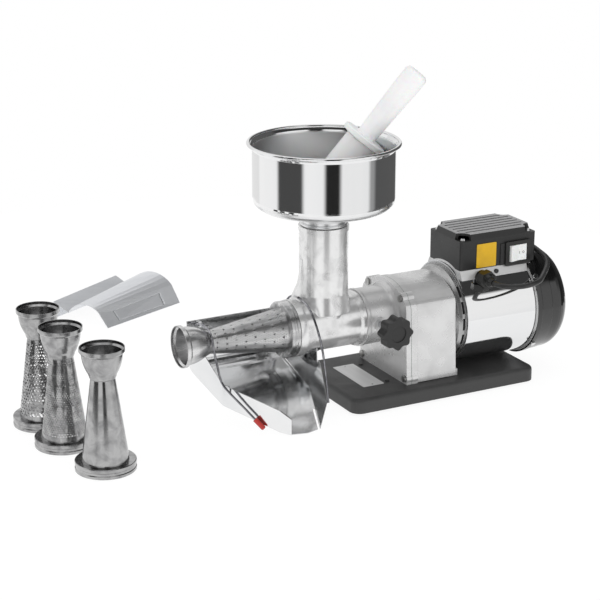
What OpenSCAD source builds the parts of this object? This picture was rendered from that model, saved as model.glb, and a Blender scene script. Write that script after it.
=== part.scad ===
// Electric tomato press with a hopper, a strainer cone, a drip tray and its loose pieces.
// X runs along the screw, from the mouth of the cone to the motor. Z is up.
// Every module is drawn from the hopper's axis (X = 0, Y = 0) and the floor (Z = 0).

/* [Base] */
// Length of the base
base_len = 313; // [300:1:350]
// Width of the base
base_wid = 182; // [170:1:220]
// Height of the base
base_hgt = 21.6; // [18:0.2:30]
// Left end of the base, measured from the hopper's axis
base_left = 3; // [0:1:20]
// Radius of the base's corners seen from above
base_corner = 16; // [10:1:24]
// Radius of the base's upper edge
base_edge = 6; // [2:0.5:8]
// Thickness of the base's top and rim
base_wall = 5; // [4:0.5:8]
// Diameter of a rubber foot
foot_dia = 24; // [16:1:32]
// Height that a foot stands proud
foot_proud = 3; // [2:0.5:8]
// Distance of a foot from the sides of the base
foot_inset = 24; // [20:1:32]

/* [Gear case] */
// Height of the screw's axis above the floor
screw_z = 117.2; // [115:0.2:122]
// Height of the motor's axis above the floor
motor_z = 104; // [103:0.2:108]
// Front face of the cover, measured from the hopper's axis
cover_x = 102; // [96:1:108]
// Thickness of the cover
cover_thick = 8; // [6:0.5:10]
// Thickness of the gasket
gasket_thick = 0.6; // [0.4:0.1:1]
// Length of the gear case behind the gasket
case_len = 76.4; // [74:0.2:90]
// Half width of the case at its foot
case_foot = 69.4; // [66:0.2:76]
// Half width of the case at its shoulder
case_shoulder = 64; // [62:0.2:68]
// Radius of the case's arched top
case_arch = 90; // [86:0.5:96]
// Height of the arch's centre above the floor
case_arch_z = 80; // [78:0.5:84]
// Radius between the arch and the sides
case_blend = 16; // [8:1:24]
// Wall of the gear case
case_wall = 5; // [4:0.5:6]
// Rear wall of the gear case
rear_wall = 8; // [6:0.5:10]
// Radius of a screw lug
lug_r = 8; // [7:0.5:10]
// Diameter of the cover's screws
cover_screw = 6; // [5:1:8]
// Diameter of the bolts that hold the case to the base
case_bolt = 8; // [6:1:10]

/* [Collar and clamp] */
// Length of the collar in front of the cover
collar_len = 50; // [46:1:56]
// Outer radius of the collar
collar_r = 43; // [41:0.5:48]
// Depth of the socket that takes the press body
socket_len = 26; // [22:1:30]
// Radius of the press body's spigot
spigot_r = 38; // [36:0.5:39]
// Diameter of the clamp stud
stud_dia = 10; // [8:1:12]
// Thread pitch of the clamp stud
stud_pitch = 1.5; // [1:0.25:2]
// Distance of the clamp stud from the collar's mouth
stud_in = 18; // [12:1:22]
// Diameter of the star knob
knob_dia = 49; // [40:1:60]
// Depth of the star knob
knob_deep = 25; // [18:1:30]
// Length of stud between the collar and the knob
stud_free = 29; // [15:1:40]

/* [Gears] */
// Module of the first pair of gears
fast_module = 1.25; // [1.25:0.05:1.3]
// Module of the second pair of gears
slow_module = 1.5; // [1.4:0.05:1.5]
// Teeth of the rotor's pinion and of the idler's pinion
pinion_teeth = 14; // [14:1:15]
// Teeth of the idler's wheel
idler_teeth = 44; // [42:1:45]
// Teeth of the output wheel
output_teeth = 48; // [46:1:49]
// Face width of the fast wheels
fast_face = 12; // [10:1:14]
// Face width of the slow wheels
slow_face = 16; // [12:1:18]
// Play between the flanks of two teeth
tooth_play = 0.25; // [0.15:0.05:0.35]

/* [Shafts and bearings] */
// Radius of the output shaft in its bearings
shaft_r = 12.5; // [10:0.5:13]
// Outer radius of the output bearings
bearing_r = 23.5; // [20:0.5:26]
// Width of an output bearing
bearing_wid = 12; // [10:1:14]
// Radius of the idler's shaft
idler_r = 6; // [5:0.5:7]
// Outer radius of the idler's bushes
bush_r = 9; // [8:0.5:10]
// Radius of the rotor's shaft in its bearings
rotor_shaft_r = 7; // [6:0.5:7.5]
// Outer radius of the rotor's bearings
rotor_bearing_r = 17.5; // [15:0.5:20]
// Clearance of a shaft in its bearing
run_gap = 0.03; // [0.02:0.01:0.08]

/* [Motor] */
// Length of the end shield between the case and the shell
shield_len = 14; // [12:1:20]
// Outer radius of the motor's shell
shell_r = 77; // [75:0.5:80]
// Thickness of the shell
shell_wall = 1.5; // [1:0.1:2.5]
// Length of the shell
shell_len = 123; // [116:1:140]
// Length of the stator's stack
stack_len = 78; // [60:1:84]
// Radius of the rotor
rotor_r = 38; // [32:0.5:42]
// Air gap between the rotor and the stator
air_gap = 0.5; // [0.4:0.1:1]
// Outer radius of the fan cowl's rim
cowl_r = 82; // [80:0.5:84]
// Length of the fan cowl
cowl_len = 62; // [58:1:75]
// Wall of the fan cowl
cowl_wall = 2.5; // [2:0.5:4]
// Radius of the fan cowl's rounded end
cowl_round = 24; // [16:1:28]
// Radius of the fan
fan_r = 60; // [50:1:64]
// Number of the fan's blades
fan_blades = 9; // [6:1:12]

/* [Control box] */
// Length of the control box
box_len = 133; // [124:1:150]
// Width of the control box
box_wid = 87.4; // [84:0.2:100]
// Height of the box below its lid
box_hgt = 33; // [30:0.5:42]
// Height of the lid
lid_hgt = 21; // [18:0.5:26]
// Height of the lid's bevelled crown
crown_hgt = 9.5; // [7:0.5:12]
// Width that the crown's bevel draws in
crown_in = 3.5; // [2:0.5:5]
// Radius of the notches at the lid's corners
notch_r = 14; // [10:0.5:16]
// Wall of the box and its lid
box_wall = 3; // [2:0.5:4]
// Underside of the box above the floor
box_z = 177; // [176:0.5:186]
// Left end of the box, measured from the hopper's axis
box_left = 206; // [200:1:212]
// Number of grooves in the lid
groove_count = 6; // [3:1:7]
// Width of a lid groove
groove_wid = 4; // [2:0.2:5]
// Depth of a lid groove
groove_deep = 1.5; // [1:0.1:2]
// Width of the switch's frame
frame_wid = 44; // [40:1:50]
// Height of the switch's frame
frame_hgt = 37; // [34:1:40]
// Width of the rocker
rocker_wid = 31; // [26:1:34]
// Height of the rocker
rocker_hgt = 25; // [20:1:28]
// Tilt of the rocker each side of level
rocker_tilt = 7; // [4:1:10]
// Length of the aluminium pedestal under the box
pedestal_len = 124; // [110:1:130]
// Diameter of the mains lead
cord_dia = 8; // [6:0.5:9]
// Width of the cable gland across its flats
gland_flats = 25; // [20:1:28]

/* [Press body] */
// Outer radius of the barrel
barrel_r = 38.5; // [37.5:0.5:41]
// Radius of the bore that the screw turns in
bore_r = 33; // [32:0.5:34]
// Half length of the barrel on the cone's side
barrel_left = 57; // [54:1:66]
// Radius of the ring that the cone seats on
mouth_r = 42; // [41:0.5:46]
// Width of the ring that the cone seats on
mouth_wid = 12; // [8:1:16]
// Outer radius of the feed neck
neck_r = 35.6; // [34.6:0.2:37]
// Inner radius of the feed neck
neck_bore = 31; // [29:0.5:31.5]
// Top of the feed neck above the floor
neck_top = 266; // [250:1:275]

/* [Screw] */
// Clearance of the screw's flight in the barrel
flight_gap = 1; // [0.6:0.1:2]
// Pitch of the screw in the barrel
flight_pitch = 40; // [32:1:48]
// Pitch of the screw at the tip
tip_pitch = 26; // [20:1:30]
// Radius of the screw's core at the drive end
core_r = 14; // [12:0.5:16]
// Radius of the screw's core at the tip
tip_r = 8; // [7:0.5:9]
// Thickness of the flight at its root
flight_root = 6; // [4:0.5:8]
// Thickness of the flight at its edge
flight_edge = 3; // [2:0.5:4]

/* [Strainer cones] */
// Length of a cone from its ring to its mouth
cone_len = 172; // [168:1:174]
// Outer radius of the cone's ring
ring_r = 41.5; // [40:0.5:44]
// Thickness of the cone's ring
ring_len = 14; // [12:0.5:16]
// Radius of the wall next to the ring
cone_r = 32; // [31.5:0.5:33]
// Radius of the cone's neck
throat_r = 16.5; // [16:0.5:18]
// Radius of the cone's mouth
mouth_lip_r = 30.5; // [28:0.5:32]
// Length of the mouth from the neck to the lip
bell_len = 40; // [36:1:44]
// Wall of the cone
cone_wall = 1; // [0.8:0.1:1.5]
// Diameter of the holes of the fitted cone
hole_dia = 2.6; // [2:0.2:3.4]
// Diameter of the holes of the coarse cone
coarse_dia = 3.6; // [3:0.2:4]
// Rows of holes between the ring and the neck
hole_rows = 8; // [5:1:10]
// Holes in one row
holes_round = 16; // [10:2:20]

/* [Drip tray] */
// Thickness of the tray's sheet
tray_wall = 1; // [0.8:0.1:1.5]
// Half width of the tray from the back wall to the screw's axis
tray_back = 50; // [49:0.5:54]
// Top of the back wall above the floor
tray_top = 135; // [130:1:140]
// Slope of the tray's floor in degrees
tray_slope = 20.5; // [18:0.1:21]
// Height of the tray's floor under the screw's axis
tray_floor = 46.5; // [46:0.5:52]
// Height of the side walls
tray_side = 30; // [24:1:34]
// Radius between the floor and the back wall
tray_bend = 26; // [16:1:30]
// Diameter of the bail and hoop wires
wire_dia = 3.4; // [3:0.2:4]

/* [Hopper and pestle] */
// Radius of the hopper's wall
hopper_r = 102; // [96:1:110]
// Radius of the hopper's rim
rim_r = 110; // [106:1:118]
// Top of the hopper's rim above the floor
rim_z = 388; // [370:1:400]
// Underside of the hopper's corner above the floor
hopper_z = 293; // [288:1:300]
// Radius of the hopper's lower corner
hopper_round = 15; // [10:1:22]
// Thickness of the hopper's sheet
hopper_wall = 1.2; // [0.8:0.1:2]
// Length of the hopper's spigot in the neck
spigot_len = 30; // [20:1:40]
// Length of the pestle's handle
handle_len = 122; // [100:1:130]
// Radius of the pestle's handle at its top
handle_r = 18; // [15:0.5:20]
// Radius of the pestle's flange
flange_r = 34.5; // [32:0.5:36]
// Length of the pestle below its flange
plunger_len = 106; // [96:1:112]
// Lean of the pestle from the vertical in degrees
pestle_lean = 38.7; // [38:0.1:39.5]
// Direction that the pestle leans in, in degrees from the X axis
pestle_turn = -22.9; // [-26:0.1:-20]

/* [Splash guard] */
// Length of the splash guard
guard_len = 172; // [160:1:180]
// Radius of its arch at the narrow end
guard_small = 43; // [40:1:46]
// Radius of its arch at the wide end
guard_large = 53; // [50:1:58]
// Thickness of its sheet
guard_wall = 1; // [0.8:0.1:1.5]
// Height of its folded lip
guard_lip = 27; // [20:1:30]
// Turn of the guard on the floor in degrees
guard_turn = 30.7; // [25:0.1:35]

/* [Hidden] */
$fn = 64;

// Small clearance between faces that lie against each other in different bodies
touch = 0.3;
// Depth that a cut runs past the face it opens
cut = 1;

// Colours
cast_grey = [0.72, 0.73, 0.74];
tin_grey = [0.66, 0.67, 0.68];
steel_bright = [0.82, 0.83, 0.84];
steel_dark = [0.45, 0.46, 0.48];
black_paint = [0.10, 0.10, 0.11];
black_plastic = [0.07, 0.07, 0.08];

// Stations along the screw
base_top = foot_proud + base_hgt;
base_mid_x = base_left + base_len / 2;
collar_x = cover_x - collar_len;
gasket_x = cover_x + cover_thick;
case_x = gasket_x + gasket_thick;
case_end = case_x + case_len;
shell_x = case_end + shield_len;
shell_end = shell_x + shell_len;
cowl_end = shell_end + cowl_len;
seat_x = -barrel_left;
cone_mouth_x = seat_x - cone_len;

// Gear train: the idler's axis from the two centre distances
fast_reach = fast_module * (pinion_teeth + idler_teeth) / 2;
slow_reach = slow_module * (pinion_teeth + output_teeth) / 2;
axis_drop = screw_z - motor_z;
idler_rise = (fast_reach ^ 2 - slow_reach ^ 2 + axis_drop ^ 2) / (2 * axis_drop);
idler_y = sqrt(fast_reach ^ 2 - idler_rise ^ 2);
idler_z = motor_z + idler_rise;
slow_x = case_x + 10;
fast_x = slow_x + slow_face + 20;
rear_wall_x = case_end - rear_wall;

// Output bearings in the cover's hub
hub_x = collar_x + socket_len;
seal_len = 6;
bearing_x1 = hub_x + seal_len + 1;
bearing_x2 = bearing_x1 + bearing_wid + 2;
hub_end = bearing_x2 + bearing_wid;

// Motor stations
front_bearing_x = case_end + 2;
rotor_bearing_wid = 11;
rear_shield_x = shell_end - 10;
rear_bearing_x = rear_shield_x - 3;
stack_x = shell_x + (shell_len - stack_len) / 2 - 3;
fan_x = shell_end + 9;

// Control box
box_end = box_left + box_len;
lid_z = box_z + box_hgt;
lid_top = lid_z + lid_hgt;
box_front = -box_wid / 2;
switch_x = box_end - 33.4;
switch_z = box_z + 16.4;
frame_proud = 4;
pedestal_x = box_left;
pedestal_front = box_wid / 2 - 0.7;
pedestal_foot = pedestal_front + 9;
gland_x = box_left + 34;
gland_z = box_z - 12;

// Surplus of the lead, coiled behind the motor
coil_at = [262, 172];
coil_r = 48.2;

// Hexagonal drive between the output shaft and the screw
drive_flats = 16;

// Clamp
stud_x = collar_x + stud_in;
stud_tip_y = -(spigot_r + touch);
knob_face_y = -(collar_r + stud_free + knob_deep);

// Loose pieces on the floor: the three spare cones and the guard
plain_at = [-381.5, -93.5];
fine_at = [-400.3, 10.6];
coarse_at = [-399.7, 100];
guard_at = [-110, 520];

// Outline of the splash guard at its two ends
guard_near = guard_section(guard_small, 136.9, 40.3, [13.7, -26.8]);
guard_far = guard_section(guard_large, 147.4, 31.9, [10.3, -32.5]);

// Roll that brings the folded lip and the skirt of the near end onto the floor
guard_roll = -atan2(guard_near[len(guard_near) - 1].y + 7, guard_near[len(guard_near) - 1].x + guard_lip);
guard_drop = min([for (p = concat(sheet_outline(guard_near, guard_wall), sheet_outline(guard_far, guard_wall)))
    rolled(p).y]);
guard_mid = 40;

// Box that the whole object fits, without the lead
extent_left = min(plain_at.x, fine_at.x, coarse_at.x) - ring_r;
extent_right = cowl_end;
extent_front = plain_at.y - ring_r;
extent_back = guard_at.y + max([for (c = guard_corners()) c.y]);
mid_x = (extent_left + extent_right) / 2;
mid_y = (extent_front + extent_back) / 2;

// Moves a piece from the hopper's axis to the origin under the middle of the object
module placed() translate([-mid_x, -mid_y, 0]) children();

// Cylinder along the X axis
module x_rod(x0, x1, r) translate([x0, 0, 0]) rotate([0, 90, 0]) cylinder(h = x1 - x0, r = r);

// Turned shape about the X axis, from points [x, radius]
module x_turned(pts) rotate([0, 90, 0]) rotate_extrude() polygon([for (p = pts) [p.y, p.x]]);

// Outline in Y and Z, drawn out along X
module x_slab(x0, x1) translate([x0, 0, 0]) rotate([90, 0, 90]) linear_extrude(x1 - x0) children();

// Rectangle with round corners, centred
module round_rect(l, w, r) {
    square([l - 2 * r, w], center = true);
    square([l, w - 2 * r], center = true);
    for (i = [-1, 1], j = [-1, 1]) translate([i * (l / 2 - r), j * (w / 2 - r)]) circle(r);
}

// Points of an arc
function arc(c, r, a0, a1, n) =
    [for (i = [0:n]) let(a = a0 + (a1 - a0) * i / n) [c.x + r * cos(a), c.y + r * sin(a)]];

// Closed outline of a sheet of thickness t that follows a path
function path_normal(p, i) =
    let(a = p[max(i - 1, 0)], b = p[min(i + 1, len(p) - 1)], d = (b - a) / norm(b - a)) [-d.y, d.x];
function sheet_outline(p, t) = concat(
    [for (i = [0:len(p) - 1]) p[i] + path_normal(p, i) * t / 2],
    [for (i = [len(p) - 1:-1:0]) p[i] - path_normal(p, i) * t / 2]);

// Tube of radius r with n sides that follows a path in space
function unit(v) = v / norm(v);
function tangents(p) =
    [for (i = [0:len(p) - 1]) unit(p[min(i + 1, len(p) - 1)] - p[max(i - 1, 0)])];
function carried(t, n) = unit(n - (n * t) * t);
function side_vectors(t, n0) =
    [for (i = 0, n = carried(t[0], n0); i < len(t); i = i + 1, n = i < len(t) ? carried(t[i], n) : n) n];
function turned_over(f) = [for (i = [len(f) - 1:-1:0]) f[i]];
function loft_faces(n, last, over = false) =
    let(f = concat(
        [[for (k = [0:n - 1]) k]],
        [for (i = [0:last - 1], k = [0:n - 1], h = [0, 1])
            let(a = i * n + k, b = i * n + (k + 1) % n)
            h == 0 ? [a, a + n, b + n] : [a, b + n, b]],
        [[for (k = [n - 1:-1:0]) last * n + k]]))
    over ? [for (g = f) turned_over(g)] : f;
module tube(p, r, n, side = [0.31, 0.17, 0.94]) {
    t = tangents(p);
    s = side_vectors(t, side);
    polyhedron(
        points = [for (i = [0:len(p) - 1], k = [0:n - 1])
            p[i] + r * (cos(360 * k / n) * s[i] + sin(360 * k / n) * cross(t[i], s[i]))],
        faces = loft_faces(n, len(p) - 1),
        convexity = 8);
}

// Spur gear outline with involute flanks
function inv_angle(r, rb) = r <= rb ? 0 : let(a = acos(rb / r)) tan(a) * 180 / PI - a;
function half_tooth(r, m, z) =
    let(rp = m * z / 2, rb = rp * cos(20))
    90 / z - tooth_play / (4 * rp) * 180 / PI + inv_angle(rp, rb) - inv_angle(r, rb);
function gear_outline(m, z) =
    let(rp = m * z / 2, root = rp - 1.2 * m, tip = rp + 0.8 * m,
        rr = [root, max(rp - 0.55 * m, root + 0.1), rp, (rp + tip) / 2, tip])
    [for (i = [0:z - 1], s = [-1, 1], j = [0:4])
        let(r = s < 0 ? rr[j] : rr[4 - j], a = i * 360 / z + s * half_tooth(r, m, z))
        [r * cos(a), r * sin(a)]];
module gear(x0, x1, m, z, turn) x_slab(x0, x1) rotate(turn) polygon(gear_outline(m, z));

// Gear phases that bring the teeth into mesh at rest
mesh_fast = atan2(idler_z - motor_z, idler_y);
mesh_slow = atan2(screw_z - idler_z, -idler_y);
idler_turn_fast = mesh_fast + 180 + 180 / idler_teeth;
output_turn = mesh_slow + 180 + 180 / output_teeth;

// Base

// One corner of the base: a post with a rounded upper edge
module base_corner_post() rotate_extrude($fn = 32)
    polygon(concat(
        [[0, 0], [base_corner, 0]],
        arc([base_corner - base_edge, base_hgt - base_edge], base_edge, 0, 90, 5),
        [[0, base_hgt]]));

module foot_places() for (i = [0, 1], j = [-1, 1])
    translate([base_left + foot_inset + i * (base_len - 2 * foot_inset),
        j * (base_wid / 2 - foot_inset), 0]) children();

module bolt_places() for (i = [0, 1], j = [-1, 1])
    translate([case_x + 12 + i * (case_len - 30), j * (case_foot - 18), 0]) children();

module pocket_grid(nx, ny) {
    rib = 4;
    px = (base_len - 2 * base_wall + rib) / nx;
    py = (base_wid - 2 * base_wall + rib) / ny;
    for (i = [0:nx - 1], j = [0:ny - 1])
        translate([base_left + base_wall + i * px, -base_wid / 2 + base_wall + j * py, -cut])
            cube([px - rib, py - rib, foot_proud + base_hgt - base_wall + cut]);
}

module base_plate() color(black_paint) placed() difference() {
    hull() for (x = [base_left + base_corner, base_left + base_len - base_corner], j = [-1, 1])
        translate([x, j * (base_wid / 2 - base_corner), foot_proud]) base_corner_post();
    difference() {
        pocket_grid(5, 3);
        foot_places() cylinder(h = base_top, r = foot_dia / 2 + 3);
        bolt_places() cylinder(h = base_top, r = case_bolt + 3);
    }
    foot_places() translate([0, 0, -cut]) cylinder(h = foot_proud + 3 + cut, r = foot_dia / 2);
    bolt_places() {
        translate([0, 0, -cut]) cylinder(h = base_top + 2 * cut, r = case_bolt / 2);
        translate([0, 0, -cut]) cylinder(h = foot_proud + 8 + cut, r = case_bolt);
    }
    plate_screw_places() translate([0, 0, base_top - 4]) cylinder(h = 5, r = 2);
}

module rubber_feet() color([0.05, 0.05, 0.05]) placed() foot_places() {
    cylinder(h = foot_proud, r1 = foot_dia / 2 - 2, r2 = foot_dia / 2 - 0.5);
    translate([0, 0, foot_proud]) cylinder(h = 3, r = foot_dia / 2);
}

module case_bolts() color(steel_dark) placed() bolt_places() {
    translate([0, 0, foot_proud + 8 - 5]) cylinder(h = 5, r = case_bolt * 0.8, $fn = 6);
    translate([0, 0, foot_proud + 8]) cylinder(h = base_hgt - 8 + 14, r = case_bolt / 2);
}

module plate_screw_places() for (j = [-1, 1]) translate([cover_x - 16, j * 39, 0]) children();
module plate_screws() color(black_plastic) placed() plate_screw_places() {
    translate([0, 0, base_top - 4]) cylinder(h = 4, r = 2);
    translate([0, 0, base_top]) cylinder(h = 2, r1 = 4, r2 = 3);
}

// Gear case

// Half outline of the tombstone section, mirrored to a whole one
function case_half(inset) =
    let(r = case_blend - inset, bx = case_shoulder - case_blend,
        bz = case_arch_z + sqrt((case_arch - case_blend) ^ 2 - bx ^ 2),
        a = atan2(bz - case_arch_z, bx))
    concat([[case_foot - inset, base_top + inset]], arc([bx, bz], r, 0, a, 5),
        arc([0, case_arch_z], case_arch - inset, a + 4, 90, 8));
module case_section(inset) polygon(concat(
    case_half(inset),
    [for (i = [len(case_half(inset)) - 2:-1:0]) let(p = case_half(inset)[i]) [-p.x, p.y]]));

// The cover's screws, at the shoulders and at the foot
module cover_screw_places() {
    top_y = case_shoulder - 17;
    for (j = [-1, 1]) {
        translate([0, j * top_y, case_arch_z + sqrt((case_arch - 4) ^ 2 - top_y ^ 2)]) children();
        translate([0, j * (case_foot - 7), base_top + 8]) children();
    }
}

module case_blank(x0, x1) {
    x_slab(x0, x1) case_section(0);
    cover_screw_places() x_rod(x0, x1, lug_r);
}

module gear_case() color(cast_grey) placed() difference() {
    union() {
        case_blank(case_x, case_x + 10);
        x_slab(case_x, case_end) case_section(1);
        for (j = [-1, 1]) translate([case_end - 8, j * (case_foot - 8) - 5, base_top]) cube([12, 10, 10]);
    }
    difference() {
        x_slab(case_x - cut, rear_wall_x) case_section(case_wall);
        translate([0, idler_y, idler_z]) x_rod(rear_wall_x - 4, case_end, bush_r + 4);
        bolt_places() translate([0, 0, base_top]) cylinder(h = 16, r = case_bolt);
        cover_screw_places() x_rod(case_x - 2 * cut, case_x + 14, cover_screw);
    }
    translate([0, 0, motor_z]) x_rod(rear_wall_x - cut, case_end + cut, fast_module * pinion_teeth / 2 + 4);
    translate([0, idler_y, idler_z]) x_rod(rear_wall_x - 4 - cut, case_end - 2, bush_r);
    bolt_places() translate([0, 0, base_top - cut]) cylinder(h = 14 + cut, r = case_bolt / 2);
    cover_screw_places() x_rod(case_x - cut, case_x + 12, cover_screw / 2);
}

module case_gasket() color([0.35, 0.30, 0.22]) placed() difference() {
    case_blank(gasket_x, case_x);
    difference() {
        x_slab(gasket_x - cut, case_x + cut) case_section(case_wall);
        cover_screw_places() x_rod(gasket_x - 2 * cut, case_x + 2 * cut, cover_screw);
    }
    cover_screw_places() x_rod(gasket_x - cut, case_x + cut, cover_screw / 2);
}

module front_cover() color(cast_grey) placed() difference() {
    union() {
        case_blank(cover_x, gasket_x);
        translate([0, 0, screw_z]) {
            x_rod(collar_x + 3, cover_x + cut, collar_r - 1);
            x_turned([[collar_x, 0], [collar_x, collar_r], [collar_x + 4, collar_r],
                [collar_x + 6, collar_r - 1], [collar_x + 6, 0]]);
            x_turned([[cover_x - 7, 0], [cover_x - 7, collar_r - 1], [cover_x - 3, collar_r + 0.5],
                [cover_x, collar_r + 4], [cover_x, 0]]);
            x_rod(cover_x, hub_end, bearing_r + 5);
        }
        translate([0, 0, screw_z]) rotate([90, 0, 0]) translate([stud_x, 0, 0])
            cylinder(h = collar_r + 3, r = stud_dia / 2 + 5);
        translate([0, idler_y, idler_z]) x_rod(gasket_x - cut, gasket_x + 6, bush_r + 4);
    }
    translate([0, 0, screw_z]) {
        x_rod(collar_x - cut, hub_x, spigot_r);
        x_rod(hub_x - cut, hub_x + seal_len + cut, bearing_r - 3.5);
        x_rod(hub_x + seal_len, hub_end + cut, bearing_r);
    }
    translate([0, idler_y, idler_z]) x_rod(cover_x + 4, gasket_x + 7, bush_r);
    translate([stud_x, -collar_r - 4, screw_z]) rotate([-90, 0, 0])
        cylinder(h = 12, r = stud_dia / 2 + run_gap);
    cover_screw_places() {
        x_rod(cover_x - cut, gasket_x + cut, cover_screw / 2);
        x_rod(cover_x - cut, cover_x + 2, cover_screw - 0.5);
    }
}

module cover_screws() color(steel_bright) placed() cover_screw_places() {
    x_rod(cover_x - 2.5, cover_x + 2, cover_screw - 0.8);
    x_rod(cover_x + 2, case_x + 11, cover_screw / 2);
}

// Bearing: a ring with a shallow groove for its shield on each side
module bearing(x0, wid, r_in, r_out) {
    lip = (r_out - r_in) * 0.28;
    x_turned([[x0, r_in], [x0, r_in + lip], [x0 + 0.6, r_in + lip], [x0 + 0.6, r_out - lip],
        [x0, r_out - lip], [x0, r_out], [x0 + wid, r_out], [x0 + wid, r_out - lip],
        [x0 + wid - 0.6, r_out - lip], [x0 + wid - 0.6, r_in + lip], [x0 + wid, r_in + lip],
        [x0 + wid, r_in]]);
}

module shaft_bearings() color(steel_bright) placed() translate([0, 0, screw_z])
    for (x = [bearing_x1, bearing_x2]) bearing(x, bearing_wid, shaft_r, bearing_r);

module shaft_seal() color([0.30, 0.12, 0.08]) placed() translate([0, 0, screw_z])
    x_turned([[hub_x, shaft_r + run_gap], [hub_x, bearing_r - 3.5],
        [hub_x + seal_len, bearing_r - 3.5], [hub_x + seal_len, shaft_r + 4],
        [hub_x + 2, shaft_r + 3], [hub_x + 2, shaft_r + run_gap]]);

module idler_bushes() color([0.72, 0.52, 0.25]) placed() translate([0, idler_y, idler_z])
    for (s = [[cover_x + 4, gasket_x + 6], [rear_wall_x - 4, case_end - 2]])
        x_turned([[s[0], idler_r + run_gap], [s[0], bush_r], [s[1], bush_r], [s[1], idler_r + run_gap]]);

// Wheels and shafts

module rotor_shaft() color(steel_bright) placed() translate([0, 0, motor_z]) {
    gear(fast_x - 1, fast_x + fast_face + 1, fast_module, pinion_teeth, mesh_fast);
    x_turned([[fast_x + fast_face, 0], [fast_x + fast_face, rotor_shaft_r - 0.5],
        [front_bearing_x, rotor_shaft_r - 0.5], [front_bearing_x, rotor_shaft_r - run_gap],
        [front_bearing_x + rotor_bearing_wid + 1, rotor_shaft_r - run_gap],
        [front_bearing_x + rotor_bearing_wid + 1, rotor_shaft_r + 3], [stack_x, rotor_shaft_r + 3],
        [stack_x, rotor_shaft_r + 2], [stack_x + stack_len, rotor_shaft_r + 2],
        [stack_x + stack_len, rotor_shaft_r + 3], [rear_bearing_x - 1, rotor_shaft_r + 3],
        [rear_bearing_x - 1, rotor_shaft_r - run_gap],
        [fan_x - 4, rotor_shaft_r - run_gap], [fan_x - 4, rotor_shaft_r - 1],
        [fan_x + 18, rotor_shaft_r - 1], [fan_x + 18, 0]]);
}

module rotor_core() color([0.40, 0.40, 0.42]) placed() translate([0, 0, motor_z]) difference() {
    x_turned([[stack_x - 6, rotor_shaft_r + 8], [stack_x - 6, rotor_r - 4], [stack_x, rotor_r - 3],
        [stack_x, rotor_r], [stack_x + stack_len, rotor_r], [stack_x + stack_len, rotor_r - 3],
        [stack_x + stack_len + 6, rotor_r - 4], [stack_x + stack_len + 6, rotor_shaft_r + 8],
        [stack_x + stack_len, rotor_shaft_r + 8], [stack_x + stack_len, rotor_shaft_r + 2],
        [stack_x, rotor_shaft_r + 2], [stack_x, rotor_shaft_r + 8]]);
}

module cooling_fan() color([0.15, 0.15, 0.16]) placed() translate([0, 0, motor_z]) {
    x_turned([[fan_x, rotor_shaft_r - 1], [fan_x, fan_r - 14], [fan_x + 2, fan_r - 14],
        [fan_x + 2, rotor_shaft_r + 6], [fan_x + 16, rotor_shaft_r + 5], [fan_x + 16, rotor_shaft_r - 1]]);
    for (k = [0:fan_blades - 1]) rotate([k * 360 / fan_blades, 0, 0])
        translate([fan_x + 1, -1, rotor_shaft_r + 4]) cube([15, 2, fan_r - rotor_shaft_r - 4]);
}

module idler_shaft() color(steel_bright) placed() translate([0, idler_y, idler_z]) {
    gear(slow_x - 1, slow_x + slow_face + 1, slow_module, pinion_teeth, mesh_slow);
    x_rod(cover_x + 5, slow_x, idler_r);
    x_rod(slow_x + slow_face, case_end - 3, idler_r);
    x_rod(slow_x + slow_face, fast_x, idler_r + 2);
}

module idler_wheel() color(steel_dark) placed() translate([0, idler_y, idler_z]) difference() {
    union() {
        gear(fast_x, fast_x + fast_face, fast_module, idler_teeth, idler_turn_fast);
        x_rod(fast_x + fast_face - cut, fast_x + fast_face + 4, idler_r + 5);
    }
    x_rod(fast_x - cut, fast_x + fast_face + 5, idler_r);
    web_r = fast_module * idler_teeth / 2 - 5;
    difference() {
        x_rod(fast_x + fast_face - 3, fast_x + fast_face + cut, web_r);
        x_rod(fast_x, fast_x + fast_face + 2, idler_r + 5);
    }
}

module output_shaft() color(steel_bright) placed() translate([0, 0, screw_z]) difference() {
    union() {
        x_turned([[hub_x - 14, 0], [hub_x - 14, shaft_r - 0.5], [hub_x, shaft_r - 0.5],
            [hub_x, shaft_r - run_gap], [hub_end, shaft_r - run_gap], [hub_end, shaft_r + 3],
            [slow_x, shaft_r + 3], [slow_x, shaft_r - 1], [slow_x + slow_face + 3, shaft_r - 1],
            [slow_x + slow_face + 3, 0]]);
        for (a = [0]) translate([slow_x + 1, -2.5, shaft_r - 4]) cube([slow_face - 2, 5, 5.5]);
    }
    translate([0, 0, 0]) x_slab(hub_x - 15, hub_x + 4) hex_outline(drive_flats + 0.2);
}

module hex_outline(flats) circle(r = flats / 2 / cos(30), $fn = 6);

module output_wheel() color(steel_dark) placed() translate([0, 0, screw_z]) difference() {
    gear(slow_x, slow_x + slow_face, slow_module, output_teeth, output_turn);
    x_rod(slow_x - cut, slow_x + slow_face + cut, shaft_r - 1);
    translate([slow_x - cut, -2.5, 0]) cube([slow_face + 2 * cut, 5, shaft_r + 1.5]);
    web_r = slow_module * output_teeth / 2 - 6;
    difference() {
        x_rod(slow_x + slow_face - 4, slow_x + slow_face + cut, web_r);
        x_rod(slow_x, slow_x + slow_face + 2, shaft_r + 5);
    }
}

// Motor

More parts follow.
